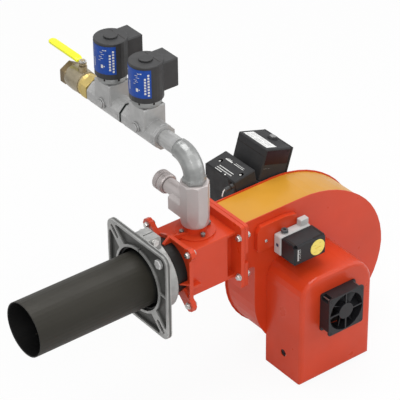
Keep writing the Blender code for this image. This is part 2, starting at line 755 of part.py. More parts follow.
def train_pipe(name, start, end):
    """A pipe of the gas train whose ends sit in the fittings."""
    low = start - SOCKET_DEPTH + SEAT
    high = end + SOCKET_DEPTH - SEAT
    turned(name, (TRAIN_X, 0, TRAIN_Z), (0, 1, 0), [
        (low, GAS_BORE / 2), (low, PIPE_OD / 2), (high, PIPE_OD / 2), (high, GAS_BORE / 2),
    ], "zinc", 20)


def pipe_socket(name, start, end):
    """A cutter for the place where a pipe sits in a fitting."""
    return rod(name, (TRAIN_X, start, TRAIN_Z), (TRAIN_X, end, TRAIN_Z), PIPE_OD / 2 + 2 * SEAT)


def make_elbow():
    x = TRAIN_X
    bend = TRAIN_Z - ELBOW_RADIUS
    line = [(x, 0, INLET_TOP + 6)]
    for across, up in arc((ELBOW_RADIUS, bend), ELBOW_RADIUS, 180, 90, 7):
        line.append((x, across, up))
    line.append((x, ELBOW_RADIUS + 5, TRAIN_Z))
    elbow = wire("gas_elbow", line, ELBOW_OD / 2, "zinc", 4)
    nut = prism("elbow_nut", (x, 0, INLET_TOP + SEAT), (x, 0, bend), ELBOW_HEX, 6)
    line[0] = (x, 0, INLET_TOP - 5)
    line[-1] = (x, ELBOW_RADIUS + 15, TRAIN_Z)
    passage = wire("elbow_passage", line, GAS_BORE / 2, None, 2)
    socket = pipe_socket("elbow_socket", ELBOW_RADIUS + 5 - SOCKET_DEPTH, ELBOW_RADIUS + 15)
    join(elbow, nut)
    cut(elbow, passage, socket)


def make_valve(number, start):
    """A solenoid valve: gas comes in at the +Y end, goes up, and down through the seat."""
    x, z = TRAIN_X, TRAIN_Z
    end = start + VALVE_LENGTH
    middle = start + VALVE_LENGTH / 2
    tag = "_" + str(number)
    body = rod("valve_body" + tag, (x, start + 10, z), (x, end - 10, z), VALVE_RADIUS,
               "silver_paint")
    for low, high in ((start, start + 20), (end - 20, end)):
        join(body, prism("valve_collar", (x, low, z), (x, high, z), VALVE_FLATS, 8, None, 22.5))
    half = VALVE_BLOCK / 2
    top = block("valve_block", (x - half, x + half), (middle - half, middle + half),
                (z + 8, z + VALVE_TOP))
    soften(top, 3)
    boss = rod("valve_boss", (x - 20, middle + 3, z + 8), (x - half - 2, middle + 3, z + 8), 14,
               sides=16)
    join(body, top, boss)
    bore = GAS_BORE / 2 - 2
    outlet = rod("valve_outlet", (x, start - 5, z), (x, middle + 10, z), bore, sides=12)
    inlet = rod("valve_inlet", (x, middle + 20, z), (x, end + 5, z), bore, sides=12)
    riser = block("valve_riser", (x - 10, x + 10), (middle + 18, middle + 26), (z, z + 30))
    seat = rod("valve_seat", (x, middle - 4, z), (x, middle - 4, z + 40), SEAT_RADIUS, sides=12)
    chamber = rod("valve_chamber", (x, middle, z + CHAMBER_FLOOR), (x, middle, z + VALVE_TOP + 5),
                  CHAMBER_RADIUS, sides=16)
    port = rod("valve_port", (x - half - 10, middle + 3, z + 8), (x - half + 6, middle + 3, z + 8),
               5 + SEAT, sides=16)
    cut(body, outlet, inlet, riser, seat, chamber, port,
        pipe_socket("valve_socket", start - 5, start + SOCKET_DEPTH),
        pipe_socket("valve_socket", end - SOCKET_DEPTH, end + 5))
    face = half + 2 + SEAT
    turned("valve_plug" + tag, (x, middle + 3, z + 8), (-1, 0, 0), [
        (half - 4, 0), (half - 4, 5), (face, 5), (face, 12), (face + 4, 12), (face + 5, 11),
        (face + 5, 0),
    ], "zinc", 16)
    coil = turned("valve_coil" + tag, (x, middle, z), (0, 0, 1), [
        (VALVE_TOP + SEAT, 0), (VALVE_TOP + SEAT, NECK_RADIUS), (COIL_BASE, NECK_RADIUS),
        (COIL_BASE, COIL_RADIUS), (COIL_TOP - 2, COIL_RADIUS), (COIL_TOP, COIL_RADIUS - 2),
        (COIL_TOP, 0),
    ], "black_plastic", 28)
    low, high = TERMINAL_Z
    terminal = block("coil_terminal", (x + 20, x + TERMINAL_REACH), (middle - half, middle + half),
                     (z + low, z + high))
    soften(terminal, 3)
    guide = rod("coil_guide", (x, middle, z + VALVE_TOP - 5), (x, middle, z + GUIDE_TOP),
                PLUNGER_RADIUS + RUN, sides=16)
    join(coil, terminal)
    cut(coil, guide)
    turned("coil_cap" + tag, (x, middle, z), (0, 0, 1), [
        (COIL_TOP + SEAT, 0), (COIL_TOP + SEAT, 19), (COIL_TOP + 4, 19), (COIL_TOP + 5, 18),
        (COIL_TOP + 5, 0),
    ], "black_plastic", 16)
    low = CHAMBER_FLOOR + SEAT
    turned("valve_plunger" + tag, (x, middle, z), (0, 0, 1), [
        (low, 0), (low, SEAT_RADIUS + 6), (low + 6, SEAT_RADIUS + 6), (low + 6, PLUNGER_RADIUS),
        (PLUNGER_TOP, PLUNGER_RADIUS), (PLUNGER_TOP, 0),
    ], "zinc", 14)
    coil_spring("valve_spring" + tag, (x, middle, z + PLUNGER_TOP + 1.5), (0, 0, 1),
                GUIDE_TOP - PLUNGER_TOP - 3, 7, 1.1, 4)


def coil_spring(name, at, axis, height, radius, thickness, turns):
    steps = 8
    line = []
    for step in range(turns * steps + 1):
        angle = 2 * math.pi * step / steps
        line.append((radius * math.cos(angle), radius * math.sin(angle),
                     height * step / turns / steps))
    spring = wire(name, line, thickness, "zinc", 0)
    turn = Vector((0, 0, 1)).rotation_difference(Vector(axis)).to_matrix().to_4x4()
    spring.matrix_world = Matrix.Translation(Vector(at) * MM) @ turn
    return spring


def make_ball_valve():
    x, z = TRAIN_X, TRAIN_Z
    start = BALL_START
    end = BALL_START + BALL_LENGTH
    body = turned("ball_valve_body", (x, 0, z), (0, 1, 0), [
        (start + 10, 0), (start + 10, 27), (start + BALL_HEX + 2, 27), (STEM_Y - 20, 32),
        (STEM_Y + 20, 32), (end - BALL_HEX - 8, 27), (end - 10, 27), (end - 10, 0),
    ], "brass", 24)
    near = prism("ball_valve_near_hex", (x, start, z), (x, start + BALL_HEX, z), BALL_FLATS, 6)
    far = prism("ball_valve_far_hex", (x, end - BALL_HEX, z), (x, end, z), BALL_FLATS, 6)
    boss = rod("ball_valve_boss", (x, STEM_Y, z + 20), (x, STEM_Y, z + 48), 12, sides=16)
    soften(near, 1.5)
    soften(far, 1.5)
    join(body, near, far, boss)
    bore = rod("ball_valve_bore", (x, start - 5, z), (x, end + 5, z), 17, sides=16, twist=3)
    nest = ball("ball_valve_nest", (x, STEM_Y, z), BALL_RADIUS + RUN)
    stem = rod("ball_valve_stem_hole", (x, STEM_Y, z), (x, STEM_Y, z + 60), STEM_RADIUS + RUN,
               sides=12)
    cut(body, bore, nest, stem, pipe_socket("ball_valve_near", start - 5, start + SOCKET_DEPTH),
        pipe_socket("ball_valve_far", end - 18, end + 5))
    turning = ball("ball_and_stem", (x, STEM_Y, z), BALL_RADIUS, "brass")
    shaft = rod("ball_stem", (x, STEM_Y, z + 15), (x, STEM_Y, LEVER_Z + 10), STEM_RADIUS, sides=12)
    way = rod("ball_way", (x, STEM_Y - 40, z), (x, STEM_Y + 40, z), 16, sides=12)
    join(turning, shaft)
    cut(turning, way)
    low = LEVER_Z - LEVER_THICK / 2
    high = LEVER_Z + LEVER_THICK / 2
    half = LEVER_WIDTH / 2
    lever = plate("ball_valve_lever", "XY", (low, high), [
        slot((x, STEM_Y), (x, LEVER_END - half), LEVER_WIDTH),
        circle((x, STEM_Y), STEM_RADIUS + SEAT, 12),
    ], "yellow_plastic")
    soften(lever, 1.2)
    hang(lever, (x, STEM_Y, LEVER_Z))
    nut = prism("lever_nut", (x, STEM_Y, high + SEAT), (x, STEM_Y, high + 6), 17, 6, "zinc")
    cut(nut, rod("lever_nut_hole", (x, STEM_Y, z), (x, STEM_Y, high + 20), STEM_RADIUS + SEAT,
                 sides=12))
    hang(nut, (x, STEM_Y, LEVER_Z))


def ball(name, at, radius, finish=None):
    profile = arc((0, 0), radius, 0, 180, 6)
    profile[0] = (radius, 0)
    profile[-1] = (-radius, 0)
    return turned(name, at, (0, 0, 1), profile, finish, 14)


# Fan case

def case_line(inset, start):
    """The case's outline from the outlet's top round to the outlet's bottom, moved inward."""
    line = [(start, CASE_TOP - inset)]
    top = Vector((CASE_FLAT_END, CASE_TOP - CASE_TOP_RADIUS))
    join_angle = math.radians(CASE_JOIN)
    towards = Vector((math.cos(join_angle), math.sin(join_angle)))
    centre = top + towards * (CASE_TOP_RADIUS - CASE_RIGHT_RADIUS)
    line += arc(top, CASE_TOP_RADIUS - inset, 90, CASE_JOIN, 7)
    line += arc(centre, CASE_RIGHT_RADIUS - inset, CASE_JOIN, 0, 7)[1:]
    steps = 24
    for step in range(1, steps + 1):
        part = step / steps
        radius = CASE_RIGHT_RADIUS + (CASE_LEFT_RADIUS - CASE_RIGHT_RADIUS) * part - inset
        angle = math.radians(-180 * part)
        line.append((centre.x + radius * math.cos(angle), centre.y + radius * math.sin(angle)))
    left = centre.x - CASE_LEFT_RADIUS + inset
    low = CASE_OUTLET_LOW + inset
    turn = 10 - inset / 2
    line.append((left, low - turn - 6))
    line += arc((left - turn, low - turn), turn, 0, 90, 4)
    line.append((start, low))
    return line


def make_fan_case():
    wall = CASE_PLATE
    reach = CASE_HALF - wall - SEAT
    outer = case_line(CASE_RIM, CASE_START - 4)
    inner = case_line(CASE_RIM + wall, CASE_START - 4)
    scroll = plate("volute_scroll", "XZ", (-reach, reach), [outer + inner[::-1]], "ochre_paint")
    flange_start = BOX_END + REAR_THICK + SEAT
    low = CASE_OUTLET_LOW + CASE_RIM + wall
    high = CASE_TOP - CASE_RIM - wall
    flange = plate("volute_flange", "YZ", (flange_start, CASE_START - SEAT), [
        rounded(rectangle((-REAR_HALF_Y, -REAR_HALF_Z), (REAR_HALF_Y, REAR_HALF_Z)), 8),
        rectangle((-reach + 4, low), (reach - 4, high)),
    ])
    soften(flange, 1)
    join(scroll, flange)
    for side in (-1, 1):
        edge, beyond = sorted((side * (REAR_HALF_Y - 9), side * (REAR_HALF_Y + 5)))
        cut(scroll, block("volute_notch", (flange_start - 2, CASE_START + 2), (edge, beyond),
                          (-20, 11)))
    outline = case_line(0, CASE_START + SEAT)
    plate("volute_front_plate", "XZ", (-CASE_HALF, -CASE_HALF + wall),
          [outline, circle((AXIS_X, AXIS_Z), EYE_RADIUS, 32)], "orange_paint")
    plate("volute_back_plate", "XZ", (CASE_HALF - wall, CASE_HALF), [outline], "orange_paint")


def make_fan_wheel():
    """A drum wheel with forward-curved blades between a disc and a ring."""
    x, z = AXIS_X, AXIS_Z
    low, high = WHEEL_Y
    inner = WHEEL_RADIUS - BLADE_DEPTH
    wheel = turned("fan_wheel", (x, 0, z), (0, 1, 0), [
        (high, SHAFT_RADIUS + SEAT), (high, WHEEL_RADIUS + 0.8), (high - 3, WHEEL_RADIUS + 0.8),
        (high - 3, 30), (high - 28, 24), (high - 28, SHAFT_RADIUS + SEAT),
    ], "zinc", 24)
    ring = turned("fan_wheel_ring", (x, 0, z), (0, 1, 0), [
        (low, inner - 0.8), (low, WHEEL_RADIUS + 0.8), (low + 3, WHEEL_RADIUS + 0.8),
        (low + 3, inner - 0.8),
    ], steps=24)
    outlines = []
    for number in range(BLADE_COUNT):
        lean = 360 / BLADE_COUNT * number
        line = []
        for step in range(3):
            part = step / 2
            radius = inner + BLADE_DEPTH * part
            angle = math.radians(lean + 7 * part + 7 * part ** 2)
            line.append((radius * math.cos(angle), radius * math.sin(angle)))
        outlines.append([(x + across, z + up) for across, up in strip(line, 1.6)])
    blades = plate("fan_wheel_blades", "XZ", (low + 1, high - 1), outlines)
    join(wheel, ring, blades)
    rod("motor_shaft", (x, MOTOR_Y[0] + 20, z), (x, high + 6, z), SHAFT_RADIUS, "zinc", 16)
    hang(bpy.data.objects["motor_shaft"], (x, 0, z))


# Motor hood

def hood_outline(inset, bottom):
    x0, x1 = HOOD_X
    top = HOOD_Z[1] - inset
    corners = [(x0 + inset, bottom), (x1 - inset, bottom), (x1 - inset, top), (x0 + inset, top)]
    return rounded(corners, [0, 0, HOOD_RIGHT_RADIUS - inset, HOOD_LEFT_RADIUS - inset], 6)


def make_hood():
    back = -CASE_HALF - SEAT
    low = HOOD_Z[0]
    centre = sum(HOOD_X) / 2
    hood = plate("motor_hood", "XZ", (HOOD_FRONT, back), [hood_outline(0, low)], "orange_paint")
    round_edges(hood, HOOD_EDGE, 3, lambda x, y, z: y < HOOD_FRONT + 0.01 and (
        z > low + 0.1 or x < HOOD_X[0] + 0.1 or x > HOOD_X[1] - 0.1))
    inside = plate("hood_inside", "XZ", (HOOD_FRONT + HOOD_WALL, back + 5),
                   [hood_outline(HOOD_WALL, low - 5)])
    round_edges(inside, HOOD_EDGE - HOOD_WALL, 2, lambda x, y, z: y < HOOD_FRONT + HOOD_WALL + 0.01)
    window = rod("hood_window", (centre, HOOD_FRONT - 5, AXIS_Z), (centre, HOOD_FRONT + 20, AXIS_Z),
                 FAN_BORE_RADIUS, sides=36)
    peep = rod("hood_damper_hole", (HOOD_X[0] - 5, DAMPER_Y, DAMPER_Z),
               (HOOD_X[0] + 10, DAMPER_Y, DAMPER_Z), DAMPER_HOLE)
    cut(hood, inside, window, peep)


def make_cooling_fan():
    centre = sum(HOOD_X) / 2
    half = FAN_SIDE / 2
    back = HOOD_FRONT - SEAT
    front = back - FAN_DEPTH
    place = (centre, AXIS_Z)
    frame = plate("fan_frame", "XZ", (front, back), [
        rounded(rectangle((centre - half, AXIS_Z - half), (centre + half, AXIS_Z + half)), 6, 2),
        circle(place, FAN_BORE_RADIUS, 32),
    ], "black_plastic")
    hub = rod("fan_frame_hub", (centre, front + 0.5, AXIS_Z), (centre, front + 6, AXIS_Z), 24)
    corners = []
    for across in (centre - half + FAN_NOTCH / 2, centre + half - FAN_NOTCH / 2):
        for up in (AXIS_Z - half + FAN_NOTCH / 2, AXIS_Z + half - FAN_NOTCH / 2):
            corners.append(block("fan_corner", (across - 8, across + 8), (front + 5, back - 5),
                                 (up - 8, up + 8)))
    hole = rod("fan_hub_hole", (centre, front + 2, AXIS_Z), (centre, front + 10, AXIS_Z),
               FAN_PIN_RADIUS + RUN, sides=12)
    spokes = []
    for number in range(4):
        lean = math.radians(90 * number)
        far = (centre + 58 * math.cos(lean), AXIS_Z + 58 * math.sin(lean))
        spokes.append(plate("fan_spoke", "XZ", (front + 1, front + 4.5), [slot(place, far, 4, 2)]))
    join(frame, hub, *spokes)
    cut(frame, hole, *corners)
    low = front + 7
    rotor = turned("cooling_fan_rotor", (centre, 0, AXIS_Z), (0, 1, 0), [
        (front + 2.5, 0), (front + 2.5, FAN_PIN_RADIUS), (low, FAN_PIN_RADIUS),
        (low, FAN_HUB_RADIUS), (back - 4, FAN_HUB_RADIUS), (back - 4, 0),
    ], "black_plastic", 20)
    for number in range(FAN_BLADES):
        blade = block("rotor_blade", (15, FAN_BORE_RADIUS - 2.5), (-13, 13), (-0.9, 0.9))
        turn = math.radians(360 / FAN_BLADES * number)
        lean = Matrix.Rotation(turn, 4, "Y") @ Matrix.Rotation(math.radians(35), 4, "X")
        middle = Vector((centre, (low + back - 4) / 2, AXIS_Z)) * MM
        blade.matrix_world = Matrix.Translation(middle) @ lean
        join(rotor, blade)


def make_motor():
    x, z = AXIS_X, AXIS_Z
    low, high = MOTOR_Y
    motor = turned("motor_housing", (x, 0, z), (0, 1, 0), [
        (low, 0), (low, MOTOR_RADIUS - 14), (low + 12, MOTOR_RADIUS - 2), (low + 14, MOTOR_RADIUS),
        (high - 8, MOTOR_RADIUS), (high, MOTOR_RADIUS - 6), (high, 0),
    ], "zinc", 28)
    cut(motor, rod("motor_bore", (x, low + 15, z), (x, high + 5, z), SHAFT_RADIUS + RUN, sides=12))
    outlines = [circle((x, z), SPIDER_RADIUS, 36), circle((x, z), SHAFT_RADIUS + 4, 16)]
    for quarter in range(4):
        start = 90 * quarter + 50
        window = arc((x, z), EYE_RADIUS - 2, start, start + 80, 5)
        window += arc((x, z), MOTOR_RADIUS + 1, start + 78, start + 2, 4)
        outlines.append(window)
    plate("motor_bracket", "XZ", (high + SEAT, -CASE_HALF - SEAT), outlines, "zinc")


def make_damper():
    """A flap on a shaft across the hood; its slotted end shows in the hole in the left wall."""
    start = HOOD_X[0] + HOOD_WALL + 1.5
    end = HOOD_X[1] - HOOD_WALL - 1.5
    y, z = DAMPER_Y, DAMPER_Z
    half = DAMPER_LEAF / 2
    shaft = rod("damper_flap", (HOOD_X[0] + 2, y, z), (end - 2, y, z), DAMPER_RADIUS, "zinc", 12)
    leaf = block("damper_leaf", (start + 4, end - 4), (y - half, y + half), (z - 1, z + 1))
    knob = rod("damper_knob", (HOOD_X[0] + 1, y, z), (start + 6, y, z), DAMPER_HOLE - 2.5)
    join(shaft, leaf, knob)
    cut(shaft, block("damper_slot", (HOOD_X[0] - 3, HOOD_X[0] + 3.5), (y - 12, y + 12),
                     (z - 1.2, z + 1.2)))
    hang(shaft, (AXIS_X, y, z))
    half = 12.0
    bearing = block("damper_bearing", (end - 3, end + 1.2), (y - half, y + half),
                    (z - half, z + half), "zinc")
    cut(bearing, rod("bearing_hole", (end - 20, y, z), (end + 5, y, z), DAMPER_RADIUS + RUN,
                     sides=12))


# Air pressure switch

def make_pressure_switch():
    """The air pressure switch: a grey body on a bracket, a black cover and a setting dial."""
    front, seam, back = SWITCH_Y
    x0, x1 = SWITCH_X
    z0, z1 = SWITCH_Z
    wall = 3.0
    left = x0 - SWITCH_TAB
    right = x1 - 24
    low = z0 + 19
    high = z1 + 29
    bracket = plate("switch_bracket", "XZ", (back + SEAT, -CASE_HALF - SEAT), [rounded(
        [(left, low), (right, low), (right, high), (right - 37, high + 7), (left + 12, high + 7),
         (left, high - 10)], 6, 2)], "orange_paint")
    inner = [(left + wall, low + wall), (right - wall, low + wall), (right - wall, high - 2),
             (right - 38, high + 4), (left + 13, high + 4), (left + wall, high - 11)]
    cut(bracket, plate("bracket_hollow", "XZ", (back + wall, -CASE_HALF + 5),
                       [rounded(inner, 4, 2)]))
    body = block("pressure_switch_body", (x0, x1), (seam + SEAT, back), (z0, z1), "grey_plastic")
    ear = block("switch_ear", (x1 - 29, x1 - 1), (seam + 8, back - 3), (z1 - 10, z1 + 19))
    soften(ear, 2)
    soften(body, 3)
    middle = (seam + back) / 2
    stub = rod("switch_stub", (x0 + 25, middle, z1 - 4), (x0 + 25, middle, z1 + 8), 8, sides=16)
    join(body, ear, stub)
    port_z = z0 + 30
    port = rod("switch_port", (x0 - 5, middle, port_z), (x0 + 14, middle, port_z), 6, sides=12)
    stub_hole = rod("switch_stub_hole", (x0 + 25, middle, z1 - 2), (x0 + 25, middle, z1 + 12), 5,
                    sides=12)
    cut(body, port, stub_hole)
    cover = block("pressure_switch_cover", (x0, x1 + 3), (front, seam), (z0 - 1, z1 + 1),
                  "black_plastic")
    soften(cover, 4)
    notches = [block("cover_notch", (across - 6, across + 6), (front - 5, front + 8),
                     (z1 - 7, z1 + 5)) for across in (x0 + 3, x1)]
    nest = rod("dial_nest", (DIAL[0], front - 5, DIAL[1]), (DIAL[0], front + 4, DIAL[1]),
               DIAL_RADIUS + RUN, sides=28)
    cut(cover, nest, *notches)
    dial = turned("pressure_switch_dial", (DIAL[0], front, DIAL[1]), (0, 1, 0), [
        (-1, 0), (-1, DIAL_RADIUS - 1), (0, DIAL_RADIUS), (3.6, DIAL_RADIUS), (3.6, 0),
    ], "pale_yellow", 28)
    slit = block("dial_slit", (DIAL[0] - 9, DIAL[0] + 9), (front - 5, front + 1),
                 (DIAL[1] - 1, DIAL[1] + 1))
    cut(dial, slit)


# Boxes behind the fan case

def tilted(corner, tilt, across, up):
    """A place in a tilted box's frame, in world X and Z."""
    lean = math.radians(tilt)
    return (corner[0] + across * math.cos(lean) + up * math.sin(lean),
            corner[1] - across * math.sin(lean) + up * math.cos(lean))


def height_at(first, second, across):
    """The height of a straight line through two points."""
    return first[1] + (second[1] - first[1]) * (across - first[0]) / (second[0] - first[0])


def seat_frame(name, corner, tilt):
    """An empty at a box's upper left edge, tilted like its top."""
    frame = bpy.data.objects.new(name, None)
    PARTS.objects.link(frame)
    frame.location = Vector((corner[0], BACK_FACE, corner[1])) * MM
    frame.rotation_euler = (0, math.radians(tilt), 0)
    return frame


def make_control_box():
    frame = seat_frame("control_box_frame", CONTROL_CORNER, CONTROL_TILT)
    width, length, height = CONTROL_SIZE
    box = block("control_box", (0, width), (0, length), (-height, 0), "black_plastic")
    soften(box, 3)
    x, y = BUTTON_AT
    collar = rod("button_collar", (x, y, -5), (x, y, 4), BUTTON_RADIUS + 4)
    well = rod("button_well", (x, y, -22), (x, y, 10), BUTTON_RADIUS + RUN)
    join(box, collar)
    cut(box, well)
    button = turned("reset_button", (x, y, 0), (0, 0, 1), [
        (-10, 0), (-10, BUTTON_RADIUS), (6, BUTTON_RADIUS), (7, BUTTON_RADIUS - 1), (7, 0),
    ], "grey_plastic", 20)
    spring = coil_spring("reset_spring", (x, y, -20.5), (0, 0, 1), 9, 6, 0.8, 4)
    for thing in (box, collar, well, button, spring):
        thing.parent = frame


def make_transformer():
    frame = seat_frame("transformer_frame", TRANSFORMER_CORNER, TRANSFORMER_TILT)
    width, length, height = TRANSFORMER_SIZE
    box = block("ignition_transformer", (0, width), (0, length), (-height, 0), "black_plastic")
    soften(box, 3)
    connector = rod("transformer_connector", (-SEAT, 7, -12), (-CONNECTOR_LENGTH, 7, -12), 6.5,
                    "grey_plastic", 16)
    for thing in (box, connector):
        thing.parent = frame


def make_control_bracket():
    """A folded plate on the back of the fan case, with a shelf under the two boxes."""
    width, _, height = TRANSFORMER_SIZE
    under = height + SEAT + SHELF_THICK
    low = tilted(TRANSFORMER_CORNER, TRANSFORMER_TILT, -3, -under)
    low_end = tilted(TRANSFORMER_CORNER, TRANSFORMER_TILT, width, -under)
    under = CONTROL_SIZE[2] + SEAT + SHELF_THICK
    high = tilted(CONTROL_CORNER, CONTROL_TILT, 0, -under)
    high_end = tilted(CONTROL_CORNER, CONTROL_TILT, CONTROL_SIZE[0] + 3, -under)
    riser = low_end[0] + SHELF_THICK + SEAT
    line = [low, (riser, height_at(low, low_end, riser)), (riser, height_at(high, high_end, riser)),
            high_end]
    shelf = plate("control_bracket", "XZ", (CASE_HALF + SEAT + 1, BACK_FACE + 112),
                  [strip(line, SHELF_THICK)], "zinc")
    middle = [(across, up + 1) for across, up in line]
    back = plate("bracket_back", "XZ", (CASE_HALF + SEAT, CASE_HALF + SEAT + SHELF_THICK), [
        [(low[0] + 1, BRACKET_LOW), (high_end[0] - 1, BRACKET_LOW)]
        + [(high_end[0] - 1, high_end[1] + 1.2)] + middle[2:0:-1] + [(low[0] + 1, low[1] + 1.3)]])
    join(shelf, back)
    start, end = low_end[0] - 71, low_end[0] - 5
    drop = SHELF_THICK / 2 + 2 * SEAT
    plate("terminal_base", "XZ", (CASE_HALF + 2 * SEAT + SHELF_THICK, BACK_FACE + 122), [[
        (start, BRACKET_LOW + 2), (end, BRACKET_LOW + 2), (end, height_at(low, low_end, end) - drop),
        (start, height_at(low, low_end, start) - drop)]], "black_plastic")


# Burner head inside the tube

def make_firing_parts():
    """Gas lance, nozzle, flame disc and electrodes, placed from the tube's mouth."""
    mouth = -TUBE_REACH
    roof = BOX_HALF_Z - BOX_WALL
    bend = 40.0
    line = [(TRAIN_X, 0, roof - 1.5)]
    line += [(across, 0, up) for across, up in arc((TRAIN_X - bend, bend), bend, 0, -90, 6)]
    line.append((mouth + LANCE_BACK, 0, 0))
    lance = wire("gas_lance", line, LANCE_RADIUS, "zinc")
    top = rod("lance_flange", (TRAIN_X, 0, roof - 6), (TRAIN_X, 0, roof - SEAT), 30)
    inner = [(TRAIN_X, 0, BOX_HALF_Z)] + line[1:-1] + [(mouth + LANCE_BACK - 13, 0, 0)]
    join(lance, top)
    cut(lance, wire("lance_passage", inner, LANCE_RADIUS - 3, None, 1))
    tip, end = (mouth + back for back in NOZZLE_BACK)
    socket = LANCE_RADIUS + 2 * SEAT
    stop = mouth + LANCE_BACK - SEAT
    turned("gas_nozzle", (0, 0, 0), (1, 0, 0), [
        (tip, 8), (tip, NOZZLE_RADIUS - 2), (tip + 20, NOZZLE_RADIUS), (end, NOZZLE_RADIUS),
        (end, socket), (stop, socket), (stop, 12), (tip + 10, 8),
    ], "brass", 20)
    inside = TUBE_OD / 2 - TUBE_WALL
    disc = mouth + DISC_BACK
    outlines = [circle((0, 0), inside - DISC_GAP), circle((0, 0), NOZZLE_RADIUS + 2 * SEAT, 16)]
    for number in range(6):
        swirl = slot((SWIRL_START, 4), (inside - SWIRL_MARGIN, 4), 6, 2)
        outlines.append(turned_round(swirl, 60 * number + 8))
    for place in ELECTRODES:
        outlines.append(circle(place, PROBE_RADIUS + 2 * SEAT, 8))
    plate("diffuser_disc", "YZ", (disc - DISC_THICK, disc), outlines, "dark_steel")
    front, back = (mouth + reach for reach in PROBE_BACK)
    names = ("ignition_electrode_1", "ignition_electrode_2", "ionisation_probe")
    for name, (y, z) in zip(names, ELECTRODES):
        probe = rod(name, (front + 25, y, z), (back, y, z), PROBE_RADIUS, "ceramic", 12)
        join(probe, rod("electrode_tip", (front, y, z), (front + 30, y, z), 1.5, sides=8))
    clamp = mouth + CLAMP_BACK
    outlines = [circle((0, 0), 36), circle((0, 0), socket, 16)]
    outlines += [circle(place, PROBE_RADIUS + 2 * SEAT, 8) for place in ELECTRODES]
    plate("electrode_clamp", "YZ", (clamp, clamp + CLAMP_THICK), outlines, "zinc")


def build():
    make_sliding_flange()
    make_flange_bolts()
    make_blast_tube()
    make_head_casting()
    make_gas_inlet()
    make_regulator()
    make_elbow()
    train_pipe("pipe_nipple", ELBOW_RADIUS + 5, VALVE_STARTS[0])
    train_pipe("valve_nipple", VALVE_STARTS[0] + VALVE_LENGTH, VALVE_STARTS[1])
    train_pipe("inlet_nipple", VALVE_STARTS[1] + VALVE_LENGTH, BALL_START)
    for number, start in enumerate(VALVE_STARTS):
        make_valve(number + 1, start)
    make_ball_valve()
    make_fan_case()
    make_fan_wheel()
    make_hood()
    make_cooling_fan()
    make_motor()
    make_damper()
    make_pressure_switch()
    make_control_bracket()
    make_control_box()
    make_transformer()
    make_firing_parts()


for old in list(bpy.data.objects):
    bpy.data.objects.remove(old, do_unlink=True)
PARTS = new_group("gas_burner")
CUTTERS = new_group("cutters")
build()
bpy.context.view_layer.update()
for piece in list(PARTS.objects):
    if piece.type == "MESH":
        settle(piece)
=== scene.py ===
"""Looks of the gas burner: finishes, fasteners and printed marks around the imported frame.

Axes are the frame's: the blast tube lies along X with its mouth at -X, the gas train runs to +Y.
Pieces are placed in millimetres; the camera, the lamps and the zones of finishes are in metres.
"""

import math

import bmesh
import bpy
from mathutils import Matrix, Vector

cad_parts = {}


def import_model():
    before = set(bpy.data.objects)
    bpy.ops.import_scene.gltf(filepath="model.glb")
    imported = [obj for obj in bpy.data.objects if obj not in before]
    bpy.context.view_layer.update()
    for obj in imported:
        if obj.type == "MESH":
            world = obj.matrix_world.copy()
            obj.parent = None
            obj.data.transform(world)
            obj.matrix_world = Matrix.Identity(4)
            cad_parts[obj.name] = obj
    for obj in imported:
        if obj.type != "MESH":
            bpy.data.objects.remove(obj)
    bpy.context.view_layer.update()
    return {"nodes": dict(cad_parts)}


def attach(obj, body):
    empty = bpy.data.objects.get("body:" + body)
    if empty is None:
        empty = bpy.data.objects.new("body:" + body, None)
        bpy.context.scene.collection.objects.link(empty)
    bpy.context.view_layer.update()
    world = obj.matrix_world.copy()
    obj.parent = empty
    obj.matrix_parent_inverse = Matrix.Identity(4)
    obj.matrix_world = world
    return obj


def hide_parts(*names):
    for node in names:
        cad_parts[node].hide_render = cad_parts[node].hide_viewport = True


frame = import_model()
NODES = frame["nodes"]
MM = 0.001

# Places of the part that several pieces share, in millimetres
GAS_X = 188
GAS_Z = 295
COIL_MIDDLES = (200, 355)
PLUG_Z = 303
LEVER_PIVOT_Y = 492


# Camera at the photograph's place

CAMERA_PLACE = (-2.50100, -3.59127, 3.14492)
CAMERA_AZIMUTH = -37.0
CAMERA_ELEVATION = 33.58
CAMERA_ROLL = -0.77
CAMERA_LENS = 188.1
SENSOR_WIDTH = 36
SIGHT_LIMIT = 50


def placing(across, up, normal, place):
    """A matrix from three directions and a place in metres."""
    return Matrix([(across[axis], up[axis], normal[axis], place[axis]) for axis in range(3)]
                  + [(0, 0, 0, 1)])


def make_camera():
    azimuth = math.radians(CAMERA_AZIMUTH)
    elevation = math.radians(CAMERA_ELEVATION)
    roll = math.radians(CAMERA_ROLL)
    back = Vector((math.sin(azimuth) * math.cos(elevation),
                   -math.cos(azimuth) * math.cos(elevation), math.sin(elevation)))
    level = Vector((math.cos(azimuth), math.sin(azimuth), 0))
    upright = back.cross(level)
    right = level * math.cos(roll) + upright * math.sin(roll)
    up = upright * math.cos(roll) - level * math.sin(roll)
    camera = bpy.data.objects.new("camera", bpy.data.cameras.new("camera"))
    camera.matrix_world = placing(right, up, back, CAMERA_PLACE)
    camera.data.lens = CAMERA_LENS
    camera.data.sensor_width = SENSOR_WIDTH
    camera.data.clip_end = SIGHT_LIMIT
    bpy.context.scene.collection.objects.link(camera)
    bpy.context.scene.camera = camera


# Patterns for materials

CLOUD_RANGE = (0.3, 0.7)
BEVEL_SAMPLES = 4
WEAR_RADIUS = 0.0015
WEAR_RANGE = (0.97, 0.80)
COAT_ROUGHNESS = 0.12
GRAIN_DEPTH = 0.0004


def shade(colour, factor):
    return tuple(min(1.0, part * factor) for part in colour)


def link(tree, output, target):
    tree.links.new(output, target)


